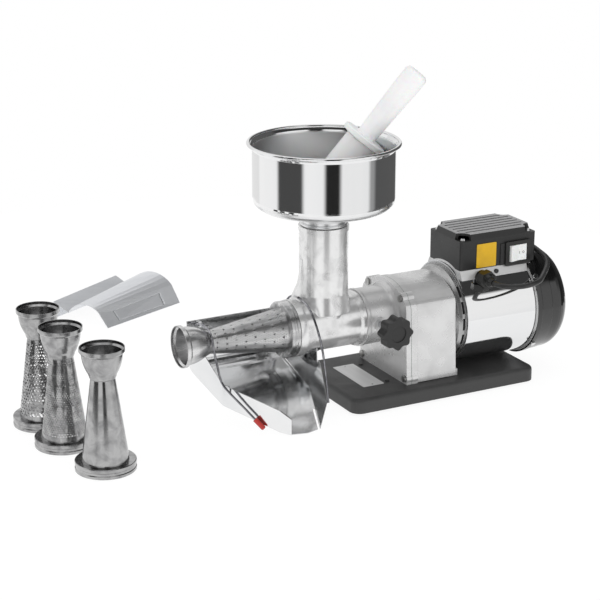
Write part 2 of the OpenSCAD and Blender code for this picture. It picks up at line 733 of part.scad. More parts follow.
module motor_shield() color(cast_grey) placed() translate([0, 0, motor_z]) difference() {
    x_turned([[case_end, rotor_bearing_r - 4], [case_end, shell_r - 12], [case_end + 3, shell_r - 7],
        [shell_x - 6, shell_r - 5], [shell_x, shell_r - 5], [shell_x, shell_r - shell_wall],
        [shell_x + 8, shell_r - shell_wall], [shell_x + 8, shell_r - shell_wall - 4],
        [case_end + 6, shell_r - 15], [case_end + 6, rotor_bearing_r + 5],
        [front_bearing_x + rotor_bearing_wid, rotor_bearing_r + 5],
        [front_bearing_x + rotor_bearing_wid, rotor_bearing_r], [front_bearing_x, rotor_bearing_r],
        [front_bearing_x, rotor_bearing_r - 4]]);
    for (k = [2:15]) rotate([k * 20 + 10, 0, 0])
        translate([shell_x - 5.5, -9, shell_r - 24]) cube([4, 18, 22]);
}

module motor_shell() color(steel_bright) placed() translate([0, 0, motor_z])
    x_turned([[shell_x, shell_r - shell_wall], [shell_x, shell_r], [shell_end, shell_r],
        [shell_end, shell_r - shell_wall]]);

module stator_core() color([0.42, 0.42, 0.44]) placed() translate([0, 0, motor_z]) difference() {
    x_rod(stack_x, stack_x + stack_len, shell_r - shell_wall);
    x_rod(stack_x - cut, stack_x + stack_len + cut, rotor_r + air_gap);
    for (k = [0:23]) rotate([k * 15 + 7.5, 0, 0])
        translate([stack_x - cut, -1.2, rotor_r]) cube([stack_len + 2 * cut, 2.4, 4]);
}

module windings() color([0.62, 0.28, 0.10]) placed() translate([0, 0, motor_z])
    for (s = [[stack_x - 14, stack_x], [stack_x + stack_len, stack_x + stack_len + 12]])
        x_turned([[s[0], rotor_r + 8], [s[0], rotor_r + 24], [s[0] + 3, rotor_r + 28],
            [s[1] - 3, rotor_r + 28], [s[1], rotor_r + 26], [s[1], rotor_r + 6], [s[1] - 3, rotor_r + 4],
            [s[0] + 3, rotor_r + 4]]);

module rotor_bearings() color(steel_bright) placed() translate([0, 0, motor_z])
    for (x = [front_bearing_x, rear_bearing_x])
        bearing(x, rotor_bearing_wid, rotor_shaft_r, rotor_bearing_r);

module rear_shield() color(cast_grey) placed() translate([0, 0, motor_z]) difference() {
    x_turned([[rear_bearing_x, rotor_bearing_r], [rear_bearing_x, rotor_bearing_r + 5],
        [rear_shield_x, rotor_bearing_r + 5], [rear_shield_x, shell_r - shell_wall],
        [shell_end, shell_r - shell_wall], [shell_end, cowl_r - cowl_wall],
        [shell_end + 7, cowl_r - cowl_wall], [shell_end + 7, shell_r - 8], [shell_end, shell_r - 16],
        [shell_end, rotor_bearing_r - 4], [rear_bearing_x + rotor_bearing_wid, rotor_bearing_r - 4],
        [rear_bearing_x + rotor_bearing_wid, rotor_bearing_r]]);
    cowl_screw_places() cylinder(h = 14, r = 1.5, center = true);
}

// The cowl's screws, seen from the motor's axis
module cowl_screw_places() for (a = [50, 130, 230, 310])
    rotate([a, 0, 0]) translate([shell_end + 3.5, 0, cowl_r]) children();

module cowl_profile(inset) {
    r_end = cowl_r - 3 - cowl_round;
    polygon([for (p = concat(
        [[shell_end + (inset > 0 ? -cut : 0), 0], [shell_end + (inset > 0 ? -cut : 0), cowl_r - inset],
            [shell_end + 7, cowl_r - inset], [shell_end + 8, cowl_r - 1 - inset],
            [shell_end + 26, cowl_r - 2 - inset], [shell_end + 27, cowl_r - 3 - inset]],
        arc([cowl_end - cowl_round, r_end], cowl_round - inset, 90, 0, 8),
        [[cowl_end - inset, 0]])) [p.y, p.x]]);
}

module fan_cowl() color(black_paint) placed() translate([0, 0, motor_z]) difference() {
    rotate([0, 90, 0]) rotate_extrude() cowl_profile(0);
    rotate([0, 90, 0]) rotate_extrude() cowl_profile(cowl_wall);
    for (k = [0:15], s = [[16, 14], [35, 16]]) rotate([k * 22.5, 0, 0])
        translate([cowl_end - 2 * cowl_wall, -1.6, s[0]]) cube([3 * cowl_wall, 3.2, s[1]]);
    cowl_screw_places() cylinder(h = 14, r = 1.5, center = true);
}

module cowl_screws() color(steel_bright) placed() translate([0, 0, motor_z]) cowl_screw_places() {
    cylinder(h = 2.4, r = 4);
    translate([0, 0, -7]) cylinder(h = 8, r = 1.5);
}

// Control box

// Space for the motor under the box, wider at the cowl
module saddle(r, wall = 0) translate([0, 0, motor_z]) {
    x_rod(pedestal_x - 4, cowl_end, r);
    x_rod(shell_end - 1, cowl_end, cowl_r + 0.6 + wall);
}

module box_pedestal() color(cast_grey) placed() difference() {
    union() {
        x_slab(pedestal_x, pedestal_x + pedestal_len) polygon([[-pedestal_front, box_z],
            [-pedestal_foot, gland_z - 8], [-pedestal_foot + 8, gland_z - 20],
            [pedestal_foot - 8, gland_z - 20], [pedestal_foot, gland_z - 8], [pedestal_front, box_z]]);
        intersection() {
            translate([0, 0, motor_z]) x_rod(pedestal_x, pedestal_x + pedestal_len, shell_r + 2);
            translate([pedestal_x, -35, box_z - 12]) cube([pedestal_len, 70, 30]);
        }
    }
    saddle(shell_r);
    translate([gland_x, -pedestal_front + 8, gland_z]) rotate([90, 0, 0]) cylinder(h = 40, r = 8);
    pedestal_screw_place() {
        translate([0, 0, -screw_deep - 0.2]) cylinder(h = 20, r = 1.6);
        translate([0, 0, -0.9]) cylinder(h = 8, r = 3.5);
    }
}

// Small screw right of the gland
screw_deep = 3.2;
module pedestal_screw_place() translate([gland_x + 28, -pedestal_front
        - (pedestal_foot - pedestal_front) * (box_z - gland_z - 5) / (box_z - gland_z + 8), gland_z + 5])
    rotate([90, 0, 0]) children();
module pedestal_screw() color(black_plastic) placed() pedestal_screw_place() {
    translate([0, 0, -screw_deep]) cylinder(h = screw_deep, r = 1.5);
    translate([0, 0, -0.8]) cylinder(h = 3, r = 3.2);
}

module control_box() color(black_plastic) placed() difference() {
    union() {
        difference() {
            box_solid(box_z, lid_z, 0);
            difference() {
                box_solid(box_z + box_wall, lid_z + cut, box_wall);
                saddle(shell_r + 2 + box_wall, box_wall);
                lid_screw_places() translate([0, 0, box_z]) cylinder(h = lid_z - box_z, r = 5);
                capacitor_place() translate([12, -16, -18]) cube([46, 32, 12]);
            }
        }
        translate([switch_x - 29.6, box_front - 1.5, box_z]) cube([54.6, 1.5 + cut, box_hgt]);
    }
    saddle(shell_r + 2);
    switch_opening(2.5, box_front - 3, 8);
    lid_screw_places() translate([0, 0, lid_z - 14]) cylinder(h = 14 + cut, r = 1.8);
    capacitor_place() x_rod(0, 70, 15);
}

// The box's outline as a block with rounded upright edges
module box_solid(z0, z1, inset) translate([box_left + box_len / 2, 0, z0])
    linear_extrude(z1 - z0) round_rect(box_len - 2 * inset, box_wid - 2 * inset, 4 - inset / 2);

module lid_screw_places() for (i = [0, 1], j = [-1, 1])
    translate([i == 0 ? box_left + 9 : box_end - 9, j * (box_wid / 2 - 9), 0]) children();

module box_lid() color(black_plastic) placed() {
    wall_top = lid_top - crown_hgt;
    difference() {
        union() {
            box_solid(lid_z, wall_top, 0);
            hull() {
                box_solid(wall_top - 0.5, wall_top, 0);
                translate([box_left + box_len / 2, 0, lid_top - 0.5]) linear_extrude(0.5)
                    round_rect(box_len - 2 * crown_in, box_wid - 2 * crown_in, 3);
            }
        }
        difference() {
            box_solid(lid_z - cut, lid_top - groove_deep - box_wall, crown_in + box_wall);
            lid_screw_places() translate([0, 0, lid_z - 2 * cut]) cylinder(h = lid_hgt, r = 5);
            for (i = [0, 1], j = [-1, 1]) translate([box_left + i * box_len, j * box_wid / 2, wall_top - box_wall])
                cylinder(h = lid_hgt, r = notch_r + box_wall + 1.5);
        }
        for (i = [0, 1], j = [-1, 1])
            translate([box_left + i * box_len - (2 * i - 1) * 4, j * (box_wid / 2 - 4), wall_top])
                cylinder(h = lid_hgt, r = notch_r);
        for (k = [0:groove_count - 1]) lid_groove((k - (groove_count - 1) / 2) * groove_pitch());
        lid_screw_places() translate([0, 0, lid_z - cut]) cylinder(h = lid_hgt, r = 1.8);
    }
}

// Grooves along the lid, shorter where they meet the notches
function groove_pitch() = (box_wid - 2 * crown_in - 4) / (groove_count + 0.6);
function groove_short(y) = abs(y) > box_wid / 2 - notch_r - 8 ? notch_r + 3 : 9;
module lid_groove(y) translate([box_left + groove_short(y), y - groove_wid / 2, lid_top - groove_deep])
    cube([box_len - 2 * groove_short(y), groove_wid, groove_deep + cut]);

module lid_screws() color(steel_bright) placed() lid_screw_places() {
    translate([0, 0, lid_z - 13]) cylinder(h = lid_top - crown_hgt - lid_z + 13, r = 1.8);
    translate([0, 0, lid_top - crown_hgt]) cylinder(h = 3, r1 = 4, r2 = 3);
}

module capacitor_place() translate([box_left + 30, 22, motor_z + 98]) children();
module run_capacitor() color([0.80, 0.80, 0.78]) placed() capacitor_place() {
    x_turned([[0, 0], [0, 14], [1, 15], [69, 15], [70, 14], [70, 0]]);
    for (j = [-1, 1]) translate([69, j * 5 - 3, -0.5]) cube([9, 6, 1]);
}

// Opening of the rocker, grown all round
module switch_opening(grow, y0, deep) translate([switch_x - rocker_wid / 2 - 0.2 - grow, y0,
        switch_z - rocker_hgt / 2 - 0.2 - grow])
    cube([rocker_wid + 0.4 + 2 * grow, deep + (box_front - y0), rocker_hgt + 0.4 + 2 * grow]);

module rocker_axis() translate([switch_x, box_front + 2, switch_z]) children();

module switch_frame() color(black_plastic) placed() difference() {
    union() {
        translate([switch_x, box_front - 1.5, switch_z]) rotate([90, 0, 0])
            linear_extrude(frame_proud - 1.5) round_rect(frame_wid, frame_hgt, 2);
        switch_opening(2.5, box_front - 2, 8);
    }
    difference() {
        switch_opening(0, box_front - frame_proud - cut, 6);
    }
    rocker_axis() cylinder(h = rocker_hgt + 3.4, r = 1.5 + run_gap, center = true);
}

module switch_rocker() color([0.92, 0.92, 0.92]) placed() rocker_axis() rotate(rocker_tilt) {
    w = rocker_wid / 2 - 0.9;
    rise = w * tan(rocker_tilt);
    translate([0, 0, -rocker_hgt / 2 + 0.3]) linear_extrude(rocker_hgt - 0.6)
        polygon([[-w, -5.5 - rise], [0, -5.5], [w, -5.5 - rise], [w, -2], [4, 2.5], [-4, 2.5], [-w, -2]]);
    cylinder(h = rocker_hgt + 2.8, r = 1.5, center = true);
}

module cable_gland() color(black_plastic) placed() difference() {
    translate([gland_x, 0, gland_z]) rotate([90, 0, 0]) {
        translate([0, 0, pedestal_front - 8]) cylinder(h = 30, r = 8);
        translate([0, 0, pedestal_foot - 3]) cylinder(h = 10, r = gland_flats * 0.45);
        translate([0, 0, pedestal_foot + 5]) rotate(15)
            cylinder(h = 13, r = gland_flats / 2 / cos(30), $fn = 6);
        translate([0, 0, pedestal_foot + 18]) cylinder(h = 5, r1 = gland_flats * 0.42, r2 = 8);
        translate([0, 0, pedestal_foot + 23]) cylinder(h = 8, r1 = 7, r2 = 5.4);
    }
    saddle(shell_r + 0.05);
    translate([gland_x, -pedestal_front + 9, gland_z]) rotate([90, 0, 0])
        cylinder(h = 60, r = cord_dia / 2);
}

// Smooth path through points
function smooth(p, n) = concat(
    [for (i = [0:len(p) - 2], k = [0:n - 1])
        let(t = k / n, a = p[max(i - 1, 0)], b = p[i], c = p[i + 1], d = p[min(i + 2, len(p) - 1)])
        (2 * b + t * (c - a) + t * t * (2 * a - 5 * b + 4 * c - d) + t * t * t * (3 * b - a - 3 * c + d)) / 2],
    [p[len(p) - 1]]);

// The lead leaves the gland, loops round the end of the box and drops behind the motor
cord_route = [
    [240, -83, 165], [240, -87, 165], [241.2, -96.3, 165.1], [244.8, -105, 165.5],
    [250.5, -112.5, 166.1], [258, -118.2, 166.9], [266.7, -121.8, 167.6], [276, -123, 168.4],
    [285.3, -121.8, 169], [294, -118.2, 169.4], [301.5, -112.5, 169.5], [313.7, -100.3, 169.8],
    [325.9, -88.1, 171], [338.5, -75.5, 173.6], [345.8, -66, 177], [350.4, -54.9, 180.8],
    [352, -43, 184.2], [352, -31, 187], [352, -17, 189.3], [352, 4, 190], [352, 24, 188],
    [352, 42, 182.5], [352, 58, 173], [352, 70, 161], [352, 79, 146], [352, 86, 127], [352, 91, 108],
    [351, 94, 88], [349, 97, 69], [344.5, 100.5, 50], [337, 105, 34], [326, 110, 21.5],
    [312, 115, 12.5], [297, 119.4, 7], [280, 122.6, 4.6],
    [coil_at.x, coil_at.y - coil_r, cord_dia / 2 + 0.15]];

module power_cord() color(black_plastic) placed() tube(smooth(cord_route, 2), cord_dia / 2, 8);

module cord_coil() color(black_plastic) placed() translate([coil_at.x, coil_at.y, cord_dia / 2 + 0.15])
    for (s = [[0, 0], [1, 0], [2, 0], [0, 1], [1, 1], [2, 1], [0, 2], [1, 2]])
        translate([0, 0, s[1] * cord_dia])
            rotate_extrude() translate([coil_r - s[0] * cord_dia, 0]) circle(r = cord_dia / 2 + 0.15, $fn = 24);

// Plug beside the coil, with the end of the lead that comes down to it from the topmost turn
module mains_plug() color(black_plastic) placed() translate([coil_at.x - 40, coil_at.y - coil_r + cord_dia, 0]) {
    translate([0, 0, 18]) rotate([0, -90, 0]) {
        cylinder(h = 12, r1 = cord_dia / 2 + 1.5, r2 = 11);
        translate([0, 0, 12]) cylinder(h = 12, r1 = 14, r2 = 18);
        translate([0, 0, 24]) cylinder(h = 14, r = 18);
        for (j = [-1, 1]) translate([0, j * 9.5, 37]) cylinder(h = 20, r = 2.4);
    }
    translate([36, 0, 20.1]) rotate([0, -93, 0]) cylinder(h = 40, r = cord_dia / 2);
}

// Press body and screw

// Where the hoop wire passes through the fin
hoop_x = -41.6;
hoop_top = 44.6;

module press_body() color(tin_grey) placed() difference() {
    union() {
        translate([0, 0, screw_z]) x_turned([[seat_x - 4, 0], [seat_x - 4, bore_r + 2.8],
            [seat_x, bore_r + 2.8], [seat_x, mouth_r], [seat_x + mouth_wid, mouth_r],
            [seat_x + mouth_wid + 1.5, barrel_r], [collar_x - 10, barrel_r],
            [collar_x - 6, barrel_r + 2.5], [collar_x - touch, barrel_r + 2.5],
            [collar_x - touch, spigot_r - 0.05], [hub_x - 0.5, spigot_r - 0.05], [hub_x - 0.5, 0]]);
        translate([0, 0, screw_z]) cylinder(h = neck_top - screw_z, r = neck_r);
        translate([0, 0, neck_top - 7]) cylinder(h = 7, r = neck_r + 1);
        translate([0, 0, screw_z + 22]) cylinder(h = 26, r1 = neck_r + 5, r2 = neck_r);
        translate([0, 2.5, 0]) rotate([90, 0, 0]) linear_extrude(5) polygon([[-20, screw_z + 101],
            [-neck_r - 0.5, screw_z + 101], [-neck_r - 2.5, screw_z + 84], [-neck_r - 6.5, screw_z + 66],
            [seat_x + 6.5, screw_z + 50], [seat_x + 4, screw_z + 40], [seat_x + 4, screw_z + 36],
            [-20, screw_z + 36]]);
    }
    translate([0, 0, screw_z]) {
        x_rod(seat_x - 5, hub_x, bore_r);
        cylinder(h = neck_top, r = neck_bore);
        translate([hoop_x, 3, hoop_top]) rotate([90, 0, 0]) cylinder(h = 6, r = wire_dia / 2 + 0.6);
    }
}

// Radius of the flight, turns made and radius of the core at a station along the screw
screw_start = collar_x + 3;
screw_tip = seat_x - 129;
function cone_bore(s) = cone_r - cone_wall - (cone_r - throat_r) / (cone_len - bell_len - ring_len) * (s - ring_len);
function flight_radius(x) = x > seat_x + 2 ? bore_r - flight_gap
    : min(bore_r - flight_gap, cone_bore(max(ring_len, seat_x - x)) - flight_gap);
function flight_turns(x) = x > seat_x ? (screw_start - x) / flight_pitch
    : let(l = seat_x - screw_tip, d = flight_pitch - tip_pitch, t = seat_x - x)
    (screw_start - seat_x) / flight_pitch
        + (d < 0.01 ? t / flight_pitch : l / d * ln(flight_pitch / (flight_pitch - d * t / l)));

module auger() color(steel_bright) placed() translate([0, 0, screw_z]) {
    x_turned([[screw_tip - 3, 0], [screw_tip - 3, tip_r - 3], [screw_tip, tip_r], [seat_x, core_r],
        [screw_start + 3, core_r], [screw_start + 3, bore_r - 0.3], [hub_x - 14, bore_r - 0.3],
        [hub_x - 14, 0]]);
    x_slab(hub_x - 15, hub_x + 2) hex_outline(drive_flats);
    steps = 150;
    pts = [for (i = [0:steps])
        let(x = screw_start + 3.5 + (screw_tip + 2 - screw_start - 3.5) * i / steps,
            a = 360 * flight_turns(x), r = flight_radius(x),
            c = x > seat_x ? core_r : core_r + (tip_r - core_r) * (seat_x - x) / (seat_x - screw_tip),
            grow = min(1, (steps - i + 2) / 6), ro = (c - 1) + (r - c + 1) * grow)
        for (q = [[c - 2, flight_root / 2], [ro, flight_edge / 2], [ro, -flight_edge / 2], [c - 2, -flight_root / 2]])
            [x + q[1], q[0] * cos(a), q[0] * sin(a)]];
    polyhedron(points = pts, convexity = 10, faces = loft_faces(4, steps));
}

// Clamp

module clamp_stud() color(steel_bright) placed() translate([stud_x, stud_tip_y, screw_z])
    rotate([90, 0, 0]) {
        cylinder(h = 3, r1 = stud_dia / 2 - 2, r2 = stud_dia / 2);
        translate([0, 0, 3]) cylinder(h = -knob_face_y + stud_tip_y - 6, r = stud_dia / 2);
    }

module star_knob() color(black_plastic) placed() translate([stud_x, knob_face_y, screw_z])
    rotate([-90, 0, 0]) difference() {
        union() {
            linear_extrude(knob_deep - 6) polygon([for (a = [0:3.75:359])
                let(r = knob_dia / 2 - 2 + 2 * cos(8 * a)) [r * cos(a), r * sin(a)]]);
            cylinder(h = knob_deep, r = stud_dia / 2 + 6);
        }
        translate([0, 0, 6 - 3]) cylinder(h = knob_deep, r = stud_dia / 2 + run_gap);
        translate([0, 0, -cut]) cylinder(h = 1.5 + cut, r = knob_dia / 2 - 12);
    }

// Strainer cones, drawn standing on the ring

module cone_shell() rotate_extrude() {
    throat_s = cone_len - bell_len;
    bell = [for (i = [1:8]) let(t = i / 8)
        [throat_r + (mouth_lip_r - 3 - throat_r) * sin(90 * t) ^ 0.8, throat_s + (bell_len - 8) * t]];
    polygon(concat(
        [[bore_r + 3.15, 0], [ring_r - 0.6, 0], [ring_r, 0.6], [ring_r, 4], [ring_r - 1, 5],
            [ring_r - 1, 8], [ring_r, 9], [ring_r, ring_len - 0.8], [ring_r - 0.8, ring_len],
            [cone_r, ring_len], [throat_r, throat_s - 3], [throat_r + 1.2, throat_s - 1.5]],
        bell,
        [[mouth_lip_r - 1.5, cone_len - 7], [mouth_lip_r, cone_len - 5], [mouth_lip_r, cone_len],
            [mouth_lip_r - cone_wall, cone_len], [mouth_lip_r - cone_wall, cone_len - 4],
            [mouth_lip_r - 2.5 - cone_wall, cone_len - 6.5]],
        [for (i = [7:-1:0]) [(i > 0 ? bell[i - 1].x : throat_r) - cone_wall, bell[i].y - (bell_len - 8) / 8]],
        [[throat_r - cone_wall, throat_s - 3], [cone_r - cone_wall, ring_len],
            [cone_r - cone_wall, 5.5], [bore_r + 3.15, 5.5]]));
}

module drilled_cone(hole) difference() {
    cone_shell();
    throat_s = cone_len - bell_len;
    for (i = [0:hole_rows - 1], k = [0:holes_round - 1]) {
        up = ring_len + 9 + i * (throat_s - ring_len - 20) / (hole_rows - 1);
        rotate((k + (i % 2) / 2) * 360 / holes_round)
            translate([cone_bore(up) - 2, 0, up]) rotate([0, 90, 0]) cylinder(h = 6, r = hole / 2);
    }
}

module strainer_cone() color(tin_grey) placed() translate([seat_x - touch, 0, screw_z])
    rotate([0, -90, 0]) drilled_cone(hole_dia);
module spare_cone_plain() color(tin_grey) placed() translate(plain_at) cone_shell();
module spare_cone_fine() color(tin_grey) placed() translate(fine_at) drilled_cone(hole_dia * 0.7);
module spare_cone_coarse() color(tin_grey) placed() translate(coarse_at) drilled_cone(coarse_dia);

// Drip tray

tray_left = [[-195, tray_back], [-180, -36], [-125, -106], [-112, -115]];
tray_right = [[-66, -114], [-40, -32], [-48.5, tray_back]];
function tray_z(y) = tray_floor + tan(tray_slope) * y;

// Sheet that runs down the back wall, round the bend and along the floor, from behind to the front
function tray_path(inset) =
    let(r = tray_bend - inset, yc = tray_back - tray_bend,
        zc = tray_z(yc + tray_bend * sin(tray_slope)) + tray_bend * cos(tray_slope))
    concat([[tray_back - inset, tray_top]], arc([yc, zc], r, 0, tray_slope - 90, 8),
        [[-119, tray_z(-119) + inset / cos(tray_slope)]]);

module tray_plan() polygon(concat(tray_left, [[-88, -118]], tray_right));

// Strip between two rows of points, thickened along a direction at each column
module strip(low, high, lean, t) {
    c = len(low);
    pts = [for (i = [0:c - 1]) each [low[i] - lean[i] * t / 2, low[i] + lean[i] * t / 2,
        high[i] + lean[i] * t / 2, high[i] - lean[i] * t / 2]];
    polyhedron(points = pts, convexity = 4, faces = loft_faces(4, c - 1, over = true));
}

wing_tops = [[-27, tray_back - 0.6, screw_z - 37], [-23, -32, screw_z - 47], [-48.6, -103, screw_z - 79.2]];

module drip_tray() color(steel_bright) placed() difference() {
    union() {
        intersection() {
            x_slab(-200, -30) polygon(concat(tray_path(0), [for (i = [len(tray_path(0)) - 1:-1:0])
                tray_path(tray_wall)[i]]));
            linear_extrude(tray_top + 10) tray_plan();
        }
        intersection() {
            linear_extrude(tray_top + 10) polygon(sheet_outline(tray_left, tray_wall));
            x_slab(-200, -100) polygon(concat(tray_path(0), [[-119, tray_z(-119) + 20],
                [-106, tray_z(-106) + tray_side + 2], [-36, tray_z(-36) + tray_side + 1],
                [tray_back - 1, tray_top - 8]]));
        }
        strip(
            [[tray_right[2].x, tray_back - 0.6, 74], [tray_right[2].x, tray_back - 9, tray_z(tray_back - 9) + 4.4],
                [tray_right[1].x, tray_right[1].y, tray_z(tray_right[1].y) + 0.4],
                [tray_right[0].x, tray_right[0].y, tray_z(tray_right[0].y) + 0.4]],
            [wing_tops[0], wing_tops[0] + [1, -9, -1], wing_tops[1], wing_tops[2]],
            [[-0.8, 0.3, 0.6], [-0.8, 0.1, 0.6], [-0.85, 0.1, 0.5], [-0.9, 0.25, 0.3]], tray_wall);
        saddle_plate();
        translate([-179.5, 0, 0]) bail_axis() rotate([0, 90, 0]) difference() {
            union() {
                cylinder(h = 5, r = wire_dia / 2 + 2.3);
                translate([-1.2, 0, 0]) cube([2.4, tray_back - bail_at.x - 0.2, 5]);
            }
            translate([0, 0, -cut]) cylinder(h = 8, r = wire_dia / 2 + 0.3);
        }
        wire_catch();
    }
    translate([-66, -114, -10]) rotate(72.4) translate([-6, 0.8, 0]) cube([46, 3, 40]);
}

// Plate that takes the barrel, with a flange round its cut-out
module saddle_plate() {
    r = barrel_r + 0.4;
    difference() {
        x_slab(-27, -26) polygon([[tray_back - 0.6, screw_z - 38], [-31, screw_z - 47.5],
            [-30, screw_z - 24], [30, screw_z - 24], [tray_back - 0.6, screw_z - 30]]);
        translate([0, 0, screw_z]) x_rod(-28, -25, r);
    }
    difference() {
        translate([0, 0, screw_z]) x_rod(-34, -20, r + tray_wall);
        translate([0, 0, screw_z]) x_rod(-35, -19, r);
        translate([-36, -50, screw_z - 25]) cube([20, 100, 80]);
    }
}

// Axis that the bail swings about, on the back wall
bail_at = [tray_back - 5, tray_top - 6];
module bail_axis() translate([0, bail_at.x, bail_at.y]) children();

// Folded plate on the side wall that the bail snaps behind
module wire_catch() translate([-178.2, -40, tray_z(-36) + tray_side - 3]) rotate([0, 0, -52]) {
    translate([-1, -2.2, -9]) cube([9, 1.2, 14]);
    translate([-1, -2.2, -9]) cube([9, 3, 1.2]);
}

throat_gap = throat_r + 2.4;
grip_at = [-152.2, -80.9, screw_z - 94.4];
grip_lie = unit([0.53, -0.50, -0.70]);
bail_route = [[-170, bail_at.x, bail_at.y], [-176, bail_at.x, bail_at.y], [-182.5, bail_at.x, bail_at.y],
    [-186, bail_at.x - 1, bail_at.y + 0.5],
    [-187, bail_at.x - 6, bail_at.y + 2.5], [-187, 26, screw_z + 20], [-187, 12, screw_z + 21.5],
    [-187, 2, screw_z + throat_gap + 2], [-187, -8, screw_z + throat_gap + 0.5], [-187, -17, screw_z + 12],
    [-187, -23.5, screw_z - 5], [-186.5, -33, screw_z - 26], [-185, -42, screw_z - 46],
    [-179, -51, screw_z - 58], [-170, -60, screw_z - 70], [-161, -70, screw_z - 82], [-154.2, -78.7, screw_z - 91.6],
    grip_at + 3 * grip_lie, grip_at + 7 * grip_lie, grip_at + 11 * grip_lie];
module bail_wire() color(steel_bright) placed() tube(smooth(bail_route, 2), wire_dia / 2, 8);

module bail_grip() color([0.80, 0.12, 0.12]) placed()
    translate(grip_at) rotate([0, acos(grip_lie.z), atan2(grip_lie.y, grip_lie.x)]) difference() {
        union() {
            cylinder(h = 17, r = 3.6);
            translate([0, 0, 17]) cylinder(h = 1.5, r1 = 3.6, r2 = 2.6);
        }
        translate([0, 0, -cut]) cylinder(h = 12.5 + cut, r = wire_dia / 2 + 0.3);
    }

module hoop_wire() color(steel_bright) placed() {
    hoop_front = [[-48.2, -104.6, screw_z - 80.5], [-45.5, -96, screw_z - 62], [-42.5, -84, screw_z - 38],
        [-41, -74.5, screw_z - 16], [-41, -66, screw_z + 2], [hoop_x, -56, screw_z + 18], [hoop_x, -44, screw_z + 31],
        [hoop_x, -30, screw_z + 40], [hoop_x, -14, screw_z + 43.6], [hoop_x, 2, screw_z + hoop_top],
        [hoop_x, 16, screw_z + 42.6],
        [hoop_x, 28, screw_z + 37], [-41.8, 38, screw_z + 26], [-42.5, 44, screw_z + 10],
        [-44, tray_back - 3.4, screw_z - 6], [-46, tray_back - tray_wall - wire_dia / 2, screw_z - 20],
        [-47, tray_back - tray_wall - wire_dia / 2, screw_z - 30]];
    tube(smooth(hoop_front, 2), wire_dia / 2, 8);
}

// Hopper

neck_r_in = neck_bore - 0.1 - hopper_wall / 2;
function hopper_path() = concat(
    [[neck_r_in, neck_top - spigot_len], [neck_r_in, neck_top + 8], [neck_r_in + 2, neck_top + 13],
        [neck_r_in + 6, hopper_z - 8]],
    arc([hopper_r - hopper_wall / 2 - hopper_round, hopper_z + hopper_round], hopper_round, -82, 0, 8),
    [[hopper_r - hopper_wall / 2, rim_z - 10], [hopper_r + 0.6, rim_z - 7], [hopper_r + 2.6, rim_z - 4],
        [rim_r - 3, rim_z - 2.4]]);

module feed_hopper() color(steel_bright) placed() {
    rotate_extrude() polygon(sheet_outline(hopper_path(), hopper_wall));
    rotate_extrude() translate([neck_r_in + 1.8, neck_top + touch + 2.2]) circle(r = 2.2);
    rotate_extrude() translate([rim_r - 2.4, rim_z - 2.4]) circle(r = 2.4);
}

// Pestle: its flange leans on the hopper's wall and its end stands on the hopper's floor
pestle_side = 33;
pestle_end_r = 22;
function floor_top(r) = let(r0 = neck_r_in + 6, z0 = hopper_z - 8, r1 = hopper_r - hopper_round)
    hopper_wall / 2 / cos(9) + (r < r0 ? z0 - 1.6 * (r0 - r) : z0 + (r - r0) * 8 / (r1 - r0));
pestle_out = min([for (i = [-90:5:90])
    sqrt((hopper_r - hopper_wall - touch) ^ 2 - (pestle_side + flange_r * sin(i)) ^ 2)
        - flange_r * cos(pestle_lean) * cos(i) - 4 * sin(pestle_lean)]);
pestle_up = touch + max([for (i = [-90:5:90])
    let(u = pestle_out - plunger_len * sin(pestle_lean) + pestle_end_r * cos(pestle_lean) * cos(i),
        v = pestle_side + pestle_end_r * sin(i))
    floor_top(norm([u, v])) + plunger_len * cos(pestle_lean) + pestle_end_r * sin(pestle_lean) * cos(i)]);

module pestle() color([0.93, 0.93, 0.91]) placed() rotate(pestle_turn)
    translate([pestle_out, pestle_side, pestle_up]) rotate([0, pestle_lean, 0])
        rotate_extrude() polygon(concat(
            [[0, -plunger_len], [pestle_end_r - 2, -plunger_len], [pestle_end_r, -plunger_len + 2],
                [pestle_end_r + 3, -plunger_len + 24], [pestle_end_r + 3, -6], [flange_r - 1, -4],
                [flange_r, -3], [flange_r, 3], [flange_r - 1, 4], [handle_r - 1, 4.5], [handle_r - 3, 7],
                [handle_r - 3, 10], [handle_r, handle_len - 26]],
            arc([handle_r - 7, handle_len - 7], 7, 0, 90, 5),
            [[0, handle_len]]));

// Splash guard

function guard_section(r, a0, a1, skirt) =
    let(c = [-r * cos(a0), -r * sin(a0)], e = c + r * [cos(a1), sin(a1)])
    concat([[-guard_lip, -7], [-guard_lip, guard_lip - 7]], arc(c, r, a0, a1, 12), [e + skirt]);
function rolled(p) = [p.x * cos(guard_roll) - p.y * sin(guard_roll), p.x * sin(guard_roll) + p.y * cos(guard_roll)];
function guard_point(s, p) = let(q = rolled(p), a = guard_turn)
    [s * cos(a) + (q.x - guard_mid) * sin(a), s * sin(a) - (q.x - guard_mid) * cos(a), q.y - guard_drop];
function guard_corners() = concat(
    [for (p = sheet_outline(guard_near, guard_wall)) guard_point(-guard_len / 2, p)],
    [for (p = sheet_outline(guard_far, guard_wall)) guard_point(guard_len / 2, p)]);

module splash_guard() color([0.62, 0.65, 0.70]) placed() translate([guard_at.x, guard_at.y, 0]) {
    c = len(guard_corners()) / 2;
    polyhedron(points = guard_corners(), convexity = 6, faces = concat(
        [for (k = [0:c - 1], h = [0, 1]) let(j = (k + 1) % c)
            h == 0 ? [k, j, c + j] : [k, c + j, c + k]],
        [for (k = [0:c / 2 - 2], h = [0, 1])
            h == 0 ? [k, c - 1 - k, c - 2 - k] : [k, c - 2 - k, k + 1]],
        [for (k = [0:c / 2 - 2], h = [0, 1])
            h == 0 ? [c + k, 2 * c - 2 - k, 2 * c - 1 - k] : [c + k, c + k + 1, 2 * c - 2 - k]]));
}

